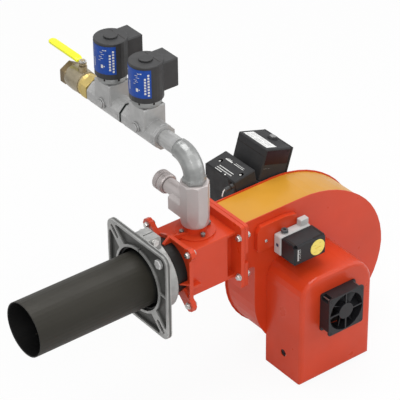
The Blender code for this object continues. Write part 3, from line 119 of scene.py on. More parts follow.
def noise(tree, scale, detail=3.0, roughness=0.55, stretch=None):
    """A noise pattern fixed to the frame; scale is in features per metre."""
    place = tree.nodes.new("ShaderNodeTexCoord")
    node = tree.nodes.new("ShaderNodeTexNoise")
    node.inputs["Scale"].default_value = scale
    node.inputs["Detail"].default_value = detail
    node.inputs["Roughness"].default_value = roughness
    if stretch is None:
        link(tree, place.outputs["Object"], node.inputs["Vector"])
    else:
        mapping = tree.nodes.new("ShaderNodeMapping")
        mapping.inputs["Scale"].default_value = stretch
        link(tree, place.outputs["Object"], mapping.inputs["Vector"])
        link(tree, mapping.outputs["Vector"], node.inputs["Vector"])
    return node.outputs["Fac"]


def remap(tree, value, low, high, to_low, to_high):
    node = tree.nodes.new("ShaderNodeMapRange")
    node.inputs["From Min"].default_value = low
    node.inputs["From Max"].default_value = high
    node.inputs["To Min"].default_value = to_low
    node.inputs["To Max"].default_value = to_high
    link(tree, value, node.inputs["Value"])
    return node.outputs["Result"]


def blend(tree, factor, first, second):
    """Mix two colours; either may be a plain colour or an output."""
    node = tree.nodes.new("ShaderNodeMix")
    node.data_type = "RGBA"
    link(tree, factor, node.inputs[0])
    for socket, colour in ((node.inputs[6], first), (node.inputs[7], second)):
        if isinstance(colour, tuple):
            socket.default_value = (*colour, 1)
        else:
            link(tree, colour, socket)
    return node.outputs[2]


def combine(tree, operation, *values):
    """Several values under one operation, such as MULTIPLY or MAXIMUM."""
    result = values[0]
    for value in values[1:]:
        node = tree.nodes.new("ShaderNodeMath")
        node.operation = operation
        link(tree, result, node.inputs[0])
        link(tree, value, node.inputs[1])
        result = node.outputs[0]
    return result


def flipped(tree, value):
    return remap(tree, value, 0.0, 1.0, 1.0, 0.0)


def rounded_normal(tree, radius):
    """The surface's normal as if its edges were rounded."""
    bevel = tree.nodes.new("ShaderNodeBevel")
    bevel.samples = BEVEL_SAMPLES
    bevel.inputs["Radius"].default_value = radius
    return bevel.outputs["Normal"]


def edge_wear(tree):
    """1 on sharp edges, 0 on flat faces, from how far a rounded normal leaves the true one."""
    rounded = rounded_normal(tree, WEAR_RADIUS)
    geometry = tree.nodes.new("ShaderNodeNewGeometry")
    dot = tree.nodes.new("ShaderNodeVectorMath")
    dot.operation = "DOT_PRODUCT"
    link(tree, rounded, dot.inputs[0])
    link(tree, geometry.outputs["True Normal"], dot.inputs[1])
    return remap(tree, dot.outputs["Value"], *WEAR_RANGE, 0.0, 1.0)


def beyond(tree, axis, low, high):
    """0 below one place along an axis and 1 above the other."""
    place = tree.nodes.new("ShaderNodeTexCoord")
    split = tree.nodes.new("ShaderNodeSeparateXYZ")
    link(tree, place.outputs["Object"], split.inputs["Vector"])
    return remap(tree, split.outputs[axis], low, high, 0.0, 1.0)


def before(tree, axis, low, high):
    """1 below one place along an axis and 0 above the other."""
    return flipped(tree, beyond(tree, axis, low, high))


def within_radius(tree, low, high):
    """1 closer to the tube's axis than low and 0 beyond high."""
    place = tree.nodes.new("ShaderNodeTexCoord")
    flat = tree.nodes.new("ShaderNodeVectorMath")
    flat.operation = "MULTIPLY"
    flat.inputs[1].default_value = (0, 1, 1)
    link(tree, place.outputs["Object"], flat.inputs[0])
    length = tree.nodes.new("ShaderNodeVectorMath")
    length.operation = "LENGTH"
    link(tree, flat.outputs["Vector"], length.inputs[0])
    return remap(tree, length.outputs["Value"], low, high, 1.0, 0.0)


# Zones of a node that take another colour: 1 inside, 0 outside. They need the frame's coordinates,
# which the nodes have and a piece with a placing of its own has not.

def off_the_roof(tree):
    """The spiral band's outlet flange and its lower run."""
    return flipped(tree, combine(tree, "MULTIPLY", beyond(tree, "X", 0.2885, 0.2895),
                                 beyond(tree, "Z", -0.066, -0.062)))


def pocket_floor_shade(tree):
    """Painted shade on the flange's web between its rim and ribs."""
    return combine(tree, "MULTIPLY", beyond(tree, "X", 0.0012, 0.0070),
                   before(tree, "X", 0.0095, 0.0102))


# Painted shade on the inside of the flange's bore
def flange_bore_shade(tree):
    return combine(tree, "MULTIPLY", within_radius(tree, 0.0895, 0.0905),
                   beyond(tree, "X", 0.0015, 0.0045))


# Painted shade on the tube where it runs behind the flange
def tube_shade_behind_flange(tree):
    return beyond(tree, "X", -0.006, 0.004)


# Painted shade on the inside of the tube
def tube_bore_shade(tree):
    return within_radius(tree, 0.0732, 0.0740)


def joint_between_valves(tree):
    return combine(tree, "MULTIPLY", beyond(tree, "Y", 0.2715, 0.2735),
                   before(tree, "Y", 0.2805, 0.2820))


def brass_inlet_end(tree):
    return beyond(tree, "Y", 0.534, 0.540)


def brass_outlet_end(tree):
    return before(tree, "Y", 0.470, 0.476)


def sooty_tips(tree):
    return before(tree, "X", -0.285, -0.250)


# Finishes

ORANGE = (0.62, 0.050, 0.012)
LIGHT_ORANGE = (0.75, 0.16, 0.05)
WORN_BRASS = (0.82, 0.68, 0.38)
PALE_METAL = (0.7, 0.7, 0.7)
GREYED_BLACK = (0.10, 0.10, 0.10)
# Near-black used as painted shade in the flange's bore and on the tube behind the flange
SHADE_BLACK = (0.012, 0.012, 0.011)


def finish(name, colour, roughness, metallic=0.0, patch=0.10, patch_scale=9.0, stretch=None,
           grain=0.0, grain_scale=350.0, rough_spread=0.10, coat=0.0, specular=0.5, edge=0.0,
           edge_colour=None, round_edge=0.0008, zones=()):
    """A surface with cloudy colour, uneven gloss, fine grain and optionally worn edges.

    Each of the zones is the maker of a factor, the colour blended in there and how far it varies.
    """
    material = bpy.data.materials.new(name)
    material.use_nodes = True
    tree = material.node_tree
    shader = tree.nodes["Principled BSDF"]
    cloud = noise(tree, patch_scale, 4.0, 0.6, stretch)
    spread = remap(tree, cloud, *CLOUD_RANGE, 0.0, 1.0)
    base = blend(tree, spread, shade(colour, 1 - patch), shade(colour, 1 + patch))
    if edge > 0:
        worn = remap(tree, edge_wear(tree), 0.0, 1.0, 0.0, edge)
        base = blend(tree, worn, base, edge_colour)
    for factor_maker, zone_colour, vary in zones:
        cloud = remap(tree, noise(tree, 7.0, 4.0, 0.6), *CLOUD_RANGE, 0.0, 1.0)
        second = blend(tree, cloud, shade(zone_colour, 1 - vary), shade(zone_colour, 1 + vary))
        base = blend(tree, factor_maker(tree), base, second)
    link(tree, base, shader.inputs["Base Color"])
    shader.inputs["Metallic"].default_value = metallic
    shader.inputs["Coat Weight"].default_value = coat
    shader.inputs["Coat Roughness"].default_value = COAT_ROUGHNESS
    shader.inputs["Specular IOR Level"].default_value = specular
    uneven = noise(tree, patch_scale * 2.7, 3.0, 0.6, stretch)
    link(tree, remap(tree, uneven, *CLOUD_RANGE, roughness - rough_spread,
                     roughness + rough_spread), shader.inputs["Roughness"])
    rounded = rounded_normal(tree, round_edge)
    bump = tree.nodes.new("ShaderNodeBump")
    bump.inputs["Strength"].default_value = grain
    bump.inputs["Distance"].default_value = GRAIN_DEPTH
    link(tree, noise(tree, grain_scale, 4.0), bump.inputs["Height"])
    link(tree, rounded, bump.inputs["Normal"])
    link(tree, bump.outputs["Normal"], shader.inputs["Normal"])
    return material


def make_painted_finishes():
    return {
        "orange": finish("orange_gloss_paint", ORANGE, 0.36, patch=0.07, patch_scale=5, grain=0.08,
                         grain_scale=260, coat=0.18, specular=0.28, edge=0.45,
                         edge_colour=LIGHT_ORANGE),
        "ochre": finish("ochre_paint", (0.62, 0.29, 0.022), 0.42, patch=0.06, patch_scale=4,
                        grain=0.08, grain_scale=300, coat=0.12, specular=0.35,
                        zones=[(off_the_roof, ORANGE, 0.08)]),
        "dark_red": finish("dark_red_panel", (0.026, 0.010, 0.012), 0.50, patch=0.2,
                           patch_scale=16, grain=0.15, grain_scale=900, specular=0.15),
        "lever": finish("yellow_dipped_coating", (0.90, 0.92, 0.006), 0.40, patch=0.05,
                        patch_scale=20, grain=0.06, grain_scale=300, coat=0.2),
    }


def make_metal_finishes():
    return {
        "cast": finish("cast_aluminium", (0.37, 0.37, 0.36), 0.45, metallic=0.5, patch=0.22,
                       patch_scale=18, grain=0.55, grain_scale=420, edge=0.6,
                       edge_colour=(0.66, 0.66, 0.64),
                       # painted shade: the pocket floors darker than the rest of the casting
                       zones=[(pocket_floor_shade, (0.095, 0.095, 0.09), 0.3),
                              # painted shade: the bore's inside wall near black
                              (flange_bore_shade, SHADE_BLACK, 0.2)]),
        "tube": finish("scaled_dark_steel", (0.024, 0.0215, 0.0155), 0.52, metallic=0.2,
                       patch=0.14, patch_scale=5, stretch=(0.6, 1.6, 1.6), grain=0.25,
                       grain_scale=500, rough_spread=0.05, specular=0.36, round_edge=0.004,
                       # painted shade: the tube black behind the flange
                       zones=[(tube_shade_behind_flange, SHADE_BLACK, 0.2),
                              # painted shade: the tube's inside near black
                              (tube_bore_shade, (0.006, 0.006, 0.006), 0.2)]),
        "diecast": finish("satin_die_casting", (0.50, 0.455, 0.445), 0.42, metallic=0.45,
                          patch=0.06, patch_scale=12, grain=0.22, grain_scale=600, edge=0.35,
                          edge_colour=(0.72, 0.70, 0.69)),
        "zinc": finish("zinc_plate", (0.60, 0.59, 0.57), 0.30, metallic=0.85, patch=0.12,
                       patch_scale=30, grain=0.12, grain_scale=700),
        "elbow": finish("satin_steel_bend", (0.30, 0.305, 0.30), 0.38, metallic=0.65, patch=0.24,
                        patch_scale=14, stretch=(1, 1, 2.2), grain=0.12, grain_scale=300,
                        rough_spread=0.08, round_edge=0.007),
        "valve": finish("cast_valve_grey", (0.42, 0.42, 0.415), 0.42, metallic=0.45, patch=0.14,
                        patch_scale=20, grain=0.30, grain_scale=500, edge=0.6,
                        edge_colour=(0.78, 0.78, 0.78),
                        zones=[(joint_between_valves, (0.07, 0.08, 0.075), 0.2)]),
        "brass": finish("brass_casting", (0.37, 0.30, 0.185), 0.40, metallic=0.6, patch=0.22,
                        patch_scale=24, grain=0.3, grain_scale=500, edge=0.45,
                        edge_colour=WORN_BRASS,
                        zones=[(brass_inlet_end, (0.17, 0.12, 0.06), 0.2),
                               (brass_outlet_end, (0.54, 0.41, 0.14), 0.2)]),
        "brass_shell": finish("tarnished_brass_barrel", (0.34, 0.29, 0.20), 0.36, metallic=0.6,
                              patch=0.24, patch_scale=24, grain=0.3, grain_scale=500, edge=0.45,
                              edge_colour=WORN_BRASS),
        "screw": finish("oiled_screw", (0.20, 0.19, 0.18), 0.32, metallic=0.7, patch=0.2,
                        patch_scale=80, grain=0.1, grain_scale=900, edge=0.6,
                        edge_colour=PALE_METAL),
        "bright": finish("bright_hex_head", (0.70, 0.70, 0.69), 0.34, metallic=0.35, patch=0.10,
                         patch_scale=50, grain=0.12, grain_scale=700),
    }


def make_plastic_finishes():
    return {
        "dial": finish("yellow_dial", (0.92, 0.76, 0.16), 0.45, patch=0.03, patch_scale=30,
                       grain=0.05, grain_scale=500),
        "black": finish("black_plastic", (0.026, 0.026, 0.027), 0.46, patch=0.16, patch_scale=14,
                        grain=0.30, grain_scale=1400, edge=0.35, edge_colour=GREYED_BLACK),
        "coil": finish("coil_resin", (0.023, 0.023, 0.024), 0.52, patch=0.16, patch_scale=14,
                       grain=0.25, grain_scale=1200, edge=0.3, edge_colour=(0.12, 0.12, 0.12)),
        "grey": finish("pale_grey_plastic", (0.50, 0.49, 0.48), 0.5, patch=0.08, patch_scale=18,
                       grain=0.2, grain_scale=1200),
        "button": finish("smoked_button", (0.12, 0.12, 0.12), 0.22, patch=0.12, patch_scale=60,
                         grain=0.05, grain_scale=900, coat=0.6),
        "gloss_black": finish("gloss_black_moulding", (0.013, 0.013, 0.015), 0.38, patch=0.2,
                              patch_scale=16, grain=0.08, grain_scale=900, coat=0.04, edge=0.35,
                              edge_colour=(0.09, 0.09, 0.10), rough_spread=0.05, specular=0.3),
        "box": finish("matt_black_box", (0.030, 0.030, 0.031), 0.55, patch=0.16, patch_scale=14,
                      grain=0.30, grain_scale=1400, specular=0.22, edge=0.35,
                      edge_colour=GREYED_BLACK),
        "smoke_grey": finish("smoke_grey_nozzle", (0.07, 0.075, 0.08), 0.45, patch=0.15,
                             patch_scale=60, grain=0.1, grain_scale=900),
        "port": finish("blue_black_port", (0.03, 0.04, 0.09), 0.5, patch=0.2, patch_scale=60,
                       grain=0.1, grain_scale=900),
        "ceramic": finish("white_ceramic", (0.78, 0.76, 0.71), 0.25, patch=0.04, patch_scale=30,
                          grain=0.05, grain_scale=600, coat=0.2,
                          zones=[(sooty_tips, (0.03, 0.028, 0.025), 0.08)]),
    }


def make_print_finishes():
    """Labels, inks, dark seams and parts, and painted shade for recesses and openings."""
    return {
        "paper": finish("white_print_label", (0.80, 0.80, 0.79), 0.5, patch=0.03, patch_scale=40,
                        grain=0.04, grain_scale=900),
        "blue": finish("blue_print_label", (0.006, 0.060, 0.34), 0.42, patch=0.18, patch_scale=60,
                       grain=0.04, grain_scale=900, specular=0.3),
        "white_ink": finish("white_print", (0.72, 0.72, 0.70), 0.5, patch=0.04, patch_scale=60,
                            grain=0.03, grain_scale=900),
        "ink_grey": finish("grey_print", (0.16, 0.16, 0.16), 0.5, patch=0.1, patch_scale=60,
                           grain=0.03, grain_scale=900),
        "faint_ink": finish("faint_dial_print", (0.62, 0.50, 0.10), 0.5, patch=0.1, patch_scale=60,
                            grain=0.03, grain_scale=900),
        # Dark seams and dark parts; also painted shade where a recess is drawn as a flat dark piece
        "hole": finish("dark_parts_and_painted_shade", (0.022, 0.016, 0.014), 0.7, patch=0.2, patch_scale=60,
                       grain=0.2, grain_scale=900, specular=0.2),
        # Painted shade: near-black for recesses drawn as flat pieces
        "painted_shade": finish("painted_shade_black", (0.003, 0.003, 0.003), 0.9, patch=0.3, patch_scale=60,
                      grain=0.1, grain_scale=900, specular=0.0),
    }


NODES_OF_FINISH = {
    "orange": "head_casting volute_front_plate volute_back_plate motor_hood switch_bracket",
    "ochre": "volute_scroll",
    "dark_red": "damper_flap damper_bearing",
    "lever": "ball_valve_lever",
    "cast": "sliding_flange motor_housing",
    "tube": "blast_tube diffuser_disc",
    "diecast": "gas_inlet_body regulator_knob",
    "zinc": "flange_clamp_bolt inlet_nipple lever_nut fan_wheel motor_shaft motor_bracket "
            "gas_lance electrode_clamp reset_spring valve_plunger_1 valve_plunger_2 "
            "valve_spring_1 valve_spring_2",
    "elbow": "gas_elbow",
    "valve": "pipe_nipple valve_body_1 valve_body_2 valve_plug_1 valve_plug_2",
    "brass": "regulator_spindle ball_valve_body ball_and_stem gas_nozzle",
    "bright": "flange_lock_screw",
    "dial": "pressure_switch_dial",
    "black": "transformer_connector",
    "coil": "valve_coil_1 valve_coil_2 coil_cap_1 coil_cap_2",
    "grey": "pressure_switch_body",
    "button": "reset_button",
    "gloss_black": "fan_frame cooling_fan_rotor pressure_switch_cover",
    "box": "control_box ignition_transformer terminal_base",
    "smoke_grey": "valve_nipple control_bracket",
    "ceramic": "ignition_electrode_1 ignition_electrode_2 ionisation_probe",
}


def dress_nodes():
    finish_of = {name: look for look, names in NODES_OF_FINISH.items() for name in names.split()}
    for name, node in NODES.items():
        node.data.materials.clear()
        node.data.materials.append(FINISHES[finish_of[name]])


# Placings

def moved(x, y, z):
    return Matrix.Translation(Vector((x, y, z)) * MM)


def turned(degrees, axis):
    return Matrix.Rotation(math.radians(degrees), 4, axis)


def along(at, axis):
    """A placing whose Z runs along an axis."""
    return moved(*at) @ Vector(axis).to_track_quat("Z", "Y").to_matrix().to_4x4()


# Shapes

def skin(shape, low, high):
    """Faces between two loops of corners, either of which may be a single point."""
    steps = max(len(low), len(high))
    for step in range(steps):
        following = (step + 1) % steps
        corners = [low[step % len(low)], low[following % len(low)],
                   high[following % len(high)], high[step % len(high)]]
        shape.faces.new(list(dict.fromkeys(corners)))


def circle(radius, steps):
    return [(radius * math.cos(2 * math.pi * step / steps),
             radius * math.sin(2 * math.pi * step / steps)) for step in range(steps)]


def ring(shape, height, radius, steps):
    return [shape.verts.new((a, b, height)) for a, b in circle(radius, steps)]


def lathe(profile, steps=24):
    """A closed turned shape from (height, radius) points, first and last on the axis."""
    shape = bmesh.new()
    rings = [ring(shape, height, radius, steps if radius else 1) for height, radius in profile]
    for low, high in zip(rings, rings[1:]):
        skin(shape, low, high)
    return shape


def band(profile, steps=32):
    """A ring with a closed cross-section of (height, radius) points."""
    shape = bmesh.new()
    rings = [ring(shape, height, radius, steps) for height, radius in profile]
    for low, high in zip(rings, rings[1:] + rings[:1]):
        skin(shape, low, high)
    return shape


def peg(radius, height, steps):
    """A plain short cylinder."""
    return lathe([(0, 0), (0, radius), (height, radius), (height, 0)], steps)


def soften(shape, angle, offset, segments):
    """Round the edges that are sharper than an angle in radians."""
    sharp = [edge for edge in shape.edges if edge.calc_face_angle(0) > angle]
    bmesh.ops.bevel(shape, geom=sharp, offset=offset, segments=segments, profile=0.5,
                    affect="EDGES")


WASHER_THICK = 1.5


def hex_head(flats, height, washer):
    """A hexagon with a chamfered top, on a washer of the given radius."""
    radius = flats / 2 / math.cos(math.pi / 6)
    top = WASHER_THICK + height
    shape = bmesh.new()
    bmesh.ops.create_cone(shape, cap_ends=True, segments=6, radius1=radius, radius2=radius,
                          depth=height, matrix=Matrix.Translation((0, 0, top - height / 2)))
    rim = [edge for edge in shape.edges if all(vert.co.z > top - 0.01 for vert in edge.verts)]
    bmesh.ops.bevel(shape, geom=rim, offset=flats * 0.07, segments=2, profile=0.5, affect="EDGES")
    bmesh.ops.create_cone(shape, cap_ends=True, segments=24, radius1=washer, radius2=washer,
                          depth=WASHER_THICK, matrix=Matrix.Translation((0, 0, WASHER_THICK / 2)))
    return shape


def pan_screw(radius, height):
    """A domed screw head."""
    return lathe([(0, 0), (0, radius), (height * 0.45, radius), (height * 0.8, radius * 0.86),
                  (height, radius * 0.55), (height, 0)], 20)


def bar(a0, b0, a1, b1):
    return [(a0, b0), (a1, b0), (a1, b1), (a0, b1)]


def disc(a, b, radius, steps=12):
    return [(a + da, b + db) for da, db in circle(radius, steps)]


# Pieces

def add_piece(name, shape, look, body="burner", matrix=None, smooth=35):
    """Turn a bmesh in millimetres into a piece that rides on a body."""
    mesh = bpy.data.meshes.new(name)
    bmesh.ops.recalc_face_normals(shape, faces=shape.faces)
    bmesh.ops.scale(shape, vec=(MM, MM, MM), verts=shape.verts)
    shape.to_mesh(mesh)
    shape.free()
    piece = bpy.data.objects.new(name, mesh)
    bpy.context.scene.collection.objects.link(piece)
    if matrix is not None:
        piece.matrix_world = matrix
    mesh.materials.append(FINISHES[look])
    mesh.shade_smooth()
    mesh.set_sharp_from_angle(angle=math.radians(smooth))
    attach(piece, body)
    return piece


def bolts(name, places, axis, shape_maker, look="zinc", body="burner"):
    """Numbered copies of one fastener."""
    for number, place in enumerate(places):
        add_piece(f"{name}_{number + 1}", shape_maker(), look, body, along(place, axis))


def raised(name, outlines, low, high, look, matrix=None, body="burner", soft=0.0):
    """Flat outlines in the matrix's XY plane, thick from low to high."""
    shape = bmesh.new()
    for outline in outlines:
        face = shape.faces.new([shape.verts.new((a, b, low)) for a, b in outline])
        grown = bmesh.ops.extrude_face_region(shape, geom=[face])
        bmesh.ops.translate(shape, vec=(0, 0, high - low),
                            verts=[v for v in grown["geom"] if isinstance(v, bmesh.types.BMVert)])
    if soft:
        soften(shape, 0.6, soft, 2)
    return add_piece(name, shape, look, body, matrix)


def facing_front(at):
    """A placing for marks on a face that looks to -Y, with X to the right and Z up."""
    return placing((1, 0, 0), (0, 0, 1), (0, -1, 0), [part * MM for part in at])


def wrap_marks(name, centre, radius, patches, thickness, look):
    """Marks that follow an upright cylinder; each patch is two angles and two heights."""
    shape = bmesh.new()
    for first, last, low, high in patches:
        steps = max(1, round((last - first) / 6))
        rows = []
        for step in range(steps + 1):
            angle = math.radians(first + (last - first) * step / steps)
            rows.append([shape.verts.new((centre[0] + reach * math.cos(angle),
                                          centre[1] + reach * math.sin(angle), height))
                         for reach, height in ((radius, low), (radius, high),
                                               (radius + thickness, high),
                                               (radius + thickness, low))])
        for near, far in zip(rows, rows[1:]):
            skin(shape, near, far)
        shape.faces.new(rows[0])
        shape.faces.new(rows[-1][::-1])
    return add_piece(name, shape, look)


def tube(name, points, radius, look, steps=10):
    """A bent wire through points."""
    shape = bmesh.new()
    spots = [Vector(point) for point in points]
    rings = []
    for number, spot in enumerate(spots):
        ahead = spots[min(number + 1, len(spots) - 1)] - spots[max(number - 1, 0)]
        turn = ahead.to_track_quat("Z", "Y")
        rings.append([shape.verts.new(spot + turn @ Vector((a, b, 0)))
                      for a, b in circle(radius, steps)])
    for low, high in zip(rings, rings[1:]):
        skin(shape, low, high)
    shape.faces.new(rings[0][::-1])
    shape.faces.new(rings[-1])
    return add_piece(name, shape, look)


# Head and flange

CORNER_Y = 88
EAR_Z = 80
THROAT_Z = 62
PEDESTAL_SCREW_CIRCLE = 40.5
PEDESTAL_TURN = -7
PEDESTAL_TOP = 76.8
SCREW_SOCKET_UP = 11.3


def make_head_fasteners():
    ears = [(y, z) for y in (-CORNER_Y, CORNER_Y) for z in (-EAR_Z, EAR_Z)]
    bolts("ear_bolt", [(97.4, y, z) for y, z in ears], (-1, 0, 0), lambda: hex_head(13, 6, 9.5))
    bolts("ear_nut", [(111.6, y, z) for y, z in ears], (1, 0, 0), lambda: hex_head(13, 7, 9.5))
    ends = [(y, z) for y in (-CORNER_Y, CORNER_Y) for z in (-THROAT_Z, THROAT_Z)]
    bolts("throat_bolt", [(265, y, z) for y, z in ends], (-1, 0, 0), lambda: hex_head(14, 7, 10.5))
    bolts("throat_nut", [(288.7, y, z) for y, z in ends], (1, 0, 0), lambda: hex_head(14, 7, 10))
    angles = [math.radians(PEDESTAL_TURN + 90 * step) for step in range(4)]
    around = [(GAS_X + PEDESTAL_SCREW_CIRCLE * math.cos(angle),
               PEDESTAL_SCREW_CIRCLE * math.sin(angle), PEDESTAL_TOP) for angle in angles]
    bolts("pedestal_screw", around, (0, 0, 1),
          lambda: lathe([(0, 0), (0, 4.2), (4, 4.2), (4, 6.4), (10, 6.4), (11.5, 4.8), (11.5, 0)],
                        16), "screw")
    bolts("pedestal_socket", [(x, y, z + SCREW_SOCKET_UP) for x, y, z in around], (0, 0, 1),
          lambda: peg(3, 0.5, 6), "zinc")


def make_clamp_washers():
    bolts("clamp_washer", [(33, -35, 119), (33, 18.2, 119)], (0, -1, 0),
          lambda: peg(10.5, 0.3, 24), "zinc", "mounting_flange")


# Solenoid coils

LABEL_RADIUS = 46.02
LABEL_THICK = 0.35
MARKS_RADIUS = 46.42
MARKS_THICK = 0.18
LABEL_PATCH = (130, 251, 404, 486)
YOKE_PROFILE = [(369, 33.2), (386.5, 33.2), (386.5, 38.5), (384, 40), (371, 40), (369, 38.5)]
YOKE_SCREW_CIRCLE = 38
YOKE_SCREW_Z = 379
PLUG_RING_PROFILE = [(-2, 13.9), (-2, 16.4), (1.2, 16.4), (2, 15.6), (2, 13.2), (0, 13)]
PLUG_AHEAD_OF_COIL = 3
COIL_TOP = 494


def label_marks():
    """Plain dots and bars as two angles and two heights, in the rhythm of the label's print."""
    marks = []
    for row in range(8):
        height = 410 + 8.4 * row
        marks.append((238.5, 245, height, height + 5.6))
        if 0 < row < 7:
            marks.append((227.5, 234, height - 3, height + 2.6))
    marks += [(196, 206, 468, 469.4), (200, 212, 462, 463.2), (192, 204, 455, 456.2)]
    marks += [(196, 208, 450, 451.2), (190, 198, 444, 445.2), (168, 171, 420, 446)]
    marks += [(214, 220, 474, 477), (205, 212, 474, 476), (150, 156, 470, 474)]
    marks += [(199, 207, 422, 432), (209, 213, 426, 429)]
    return marks


def make_coils():
    for number, middle in enumerate(COIL_MIDDLES, 1):
        centre = (GAS_X, middle)
        wrap_marks(f"coil_label_{number}", centre, LABEL_RADIUS, [LABEL_PATCH], LABEL_THICK,
                   "blue")
        wrap_marks(f"coil_marks_{number}", centre, MARKS_RADIUS, label_marks(), MARKS_THICK,
                   "white_ink")
        yoke = add_piece(f"coil_yoke_{number}", band(YOKE_PROFILE, 36), "elbow",
                         matrix=moved(GAS_X, middle, 0))
        yoke.data.shade_smooth()
        angles = [math.radians(angle) for angle in (205, 262)]
        bolts(f"yoke_screw_{number}",
              [(GAS_X + YOKE_SCREW_CIRCLE * math.cos(angle),
                middle + YOKE_SCREW_CIRCLE * math.sin(angle), YOKE_SCREW_Z) for angle in angles],
              (0, 0, 1), lambda: peg(3.4, 5, 8), "hole")
        plug_y = middle + PLUG_AHEAD_OF_COIL
        add_piece(f"plug_ring_{number}", band(PLUG_RING_PROFILE, 28), "valve",
                  matrix=along((150.7, plug_y, PLUG_Z), (-1, 0, 0)))
        add_piece(f"plug_socket_{number}", peg(4.6, 0.4, 6), "hole",
                  matrix=along((147.5, plug_y, PLUG_Z), (-1, 0, 0)))
        raised(f"coil_seam_{number}", [bar(208, middle - 35.4, 209.2, middle + 35.4)],
               COIL_TOP, COIL_TOP + 0.25, "hole")


# Ball valve

SHELL_PROFILE = [(477, 29), (477, 33.5), (506, 35), (534, 33.5), (543, 30), (543, 26)]
HUB_RADIUS = 11
GRIP_HALF_WIDTH = 12.0
GRIP_HALF_THICK = 4.2
GRIP_END_Y = 634
GRIP_Z = 357
# Y, Z and share of the full width along the grip
GRIP_PATH = [(506, 352.5, 0.72), (512, 355.5, 0.92), (520, GRIP_Z, 1.0), (GRIP_END_Y, GRIP_Z, 1.0)]


def lever_grip():
    """The coated lever: a flat bar that rises from the hub and ends in a half round."""
    shape = bmesh.new()
    rings = []
    for y, z, share in GRIP_PATH:
        width = GRIP_HALF_WIDTH * share
        rings.append([shape.verts.new((GAS_X + side * width, y, z + rise * GRIP_HALF_THICK))
                      for side, rise in ((-1, -1), (1, -1), (1, 1), (-1, 1))])
    for low, high in zip(rings, rings[1:]):
        skin(shape, low, high)
    leans = [math.radians(angle) for angle in (30, 60, 90, 120, 150)]
    tip = [(GAS_X + GRIP_HALF_WIDTH * math.cos(lean), GRIP_END_Y + GRIP_HALF_WIDTH * math.sin(lean))
           for lean in leans]
    under = [shape.verts.new((x, y, GRIP_Z - GRIP_HALF_THICK)) for x, y in tip]
    over = [shape.verts.new((x, y, GRIP_Z + GRIP_HALF_THICK)) for x, y in tip]
    last = rings[-1]
    low_loop = [last[0], last[1]] + under
    high_loop = [last[3], last[2]] + over
    shape.faces.new(low_loop)
    shape.faces.new(high_loop[::-1])
    for corners in zip(low_loop[1:], low_loop[2:] + low_loop[:1],
                       high_loop[2:] + high_loop[:1], high_loop[1:]):
        shape.faces.new(corners)
    shape.faces.new(rings[0][::-1])
    bmesh.ops.recalc_face_normals(shape, faces=shape.faces)
    soften(shape, 0.8, 2.2, 3)
    return shape


def make_ball_valve_look():
    add_piece("ball_valve_shell", band(SHELL_PROFILE, 36), "brass_shell",
              matrix=moved(GAS_X, 0, GAS_Z) @ turned(-90, "X"))
    leans = [math.radians(angle) for angle in range(150, 391, 20)]
    steel = [(GAS_X + HUB_RADIUS * math.cos(lean), LEVER_PIVOT_Y + HUB_RADIUS * math.sin(lean))
             for lean in leans] + [(196, 512), (180, 512)]
    hub = raised("lever_hub", [steel], 349.6, 352.6, "brass", body="ball_valve")
    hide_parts("ball_valve_lever")
    grip = add_piece("lever_grip", lever_grip(), "lever", "ball_valve",
                     smooth=50)
    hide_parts("ball_valve_lever")


# Throttle knob

KNOB_Z = 157
KNOB_BANDS = ((115.2, 128.2), (134.8, 147.8))
RIDGE_REACH = 27.5
RIDGE_COUNT = 36


def make_knob_ridges():
    """Fine ridges on the knob's two bands."""
    for number, (low, high) in enumerate(KNOB_BANDS, 1):
        shape = bmesh.new()
        for step in range(RIDGE_COUNT):
            place = (Matrix.Translation((GAS_X, 0, KNOB_Z))
                     @ Matrix.Rotation(2 * math.pi * step / RIDGE_COUNT, 4, "Y")
                     @ Matrix.Translation((RIDGE_REACH, (low + high) / 2, 0))
                     @ Matrix.Diagonal((1.4, high - low, 2.4, 1)))
            bmesh.ops.create_cube(shape, size=1, matrix=place)
        add_piece(f"knob_ridges_{number}", shape, "diecast", "knob")


# Air pressure switch

COVER_TOP = 22.0
SWITCH_BODY_Y = -94.5


def make_switch_details():
    marks = [bar(0, 3.6 * row - 25, width, 3.6 * row - 22.8)
             for row, width in enumerate((6, 5, 6.5, 6, 4, 6.5, 5.5, 6, 5, 6.5))]
    marks += [bar(9, 4.4 * row - 20, 11, 4.4 * row - 18.4) for row in range(7)]
    raised("switch_marks", marks, 0, 0.25, "white_ink", facing_front((396, -168, 0)))
    bolts("bracket_screw", [(361, -79.9, 8)], (0, -1, 0), lambda: pan_screw(4.6, 3), "zinc")
    add_piece("switch_nozzle", band([(8, 4.6), (15, 4.6), (15, 9), (13, 10), (8, 10)], 20),
              "smoke_grey",
              matrix=along((412, SWITCH_BODY_Y, 16), (0, 0, 1)))
    # Flat dark patches on the cover are painted shade standing for its recesses
    raised("cover_recess_shade", [bar(452, -166, 486, -160), bar(482, -160, 488, -124),
                              bar(392, -160, 397, -118)],
           COVER_TOP, COVER_TOP + 0.15, "hole")
    raised("cover_ridge", [bar(400, -163, 448, -161.5), bar(400, -118, 478, -116.5)],
           COVER_TOP, COVER_TOP + 0.5, "gloss_black")
    add_piece("switch_port_ring", peg(5.2, 2, 16), "port",
              matrix=along((389.5, SWITCH_BODY_Y, -9), (-1, 0, 0)))
    strokes = [bar(-16, 9, -6, 10.2), bar(4, 12, 12, 13), bar(-14, -12, -5, -11),
               bar(5, -14, 13, -13)]
    raised("dial_marks", strokes, 0, 0.12, "faint_ink",
           facing_front((465, -169, -9.5)), "dial")


# Cooling fan and damper shaft on the hood

FAN_X, FAN_Z = 497.7, -184
FAN_FRONT_Y = -251.9
FAN_BACK_Y = -211.1
FAN_SCREW_REACH = 52.5
DAMPER_Y, DAMPER_Z = -140, -335


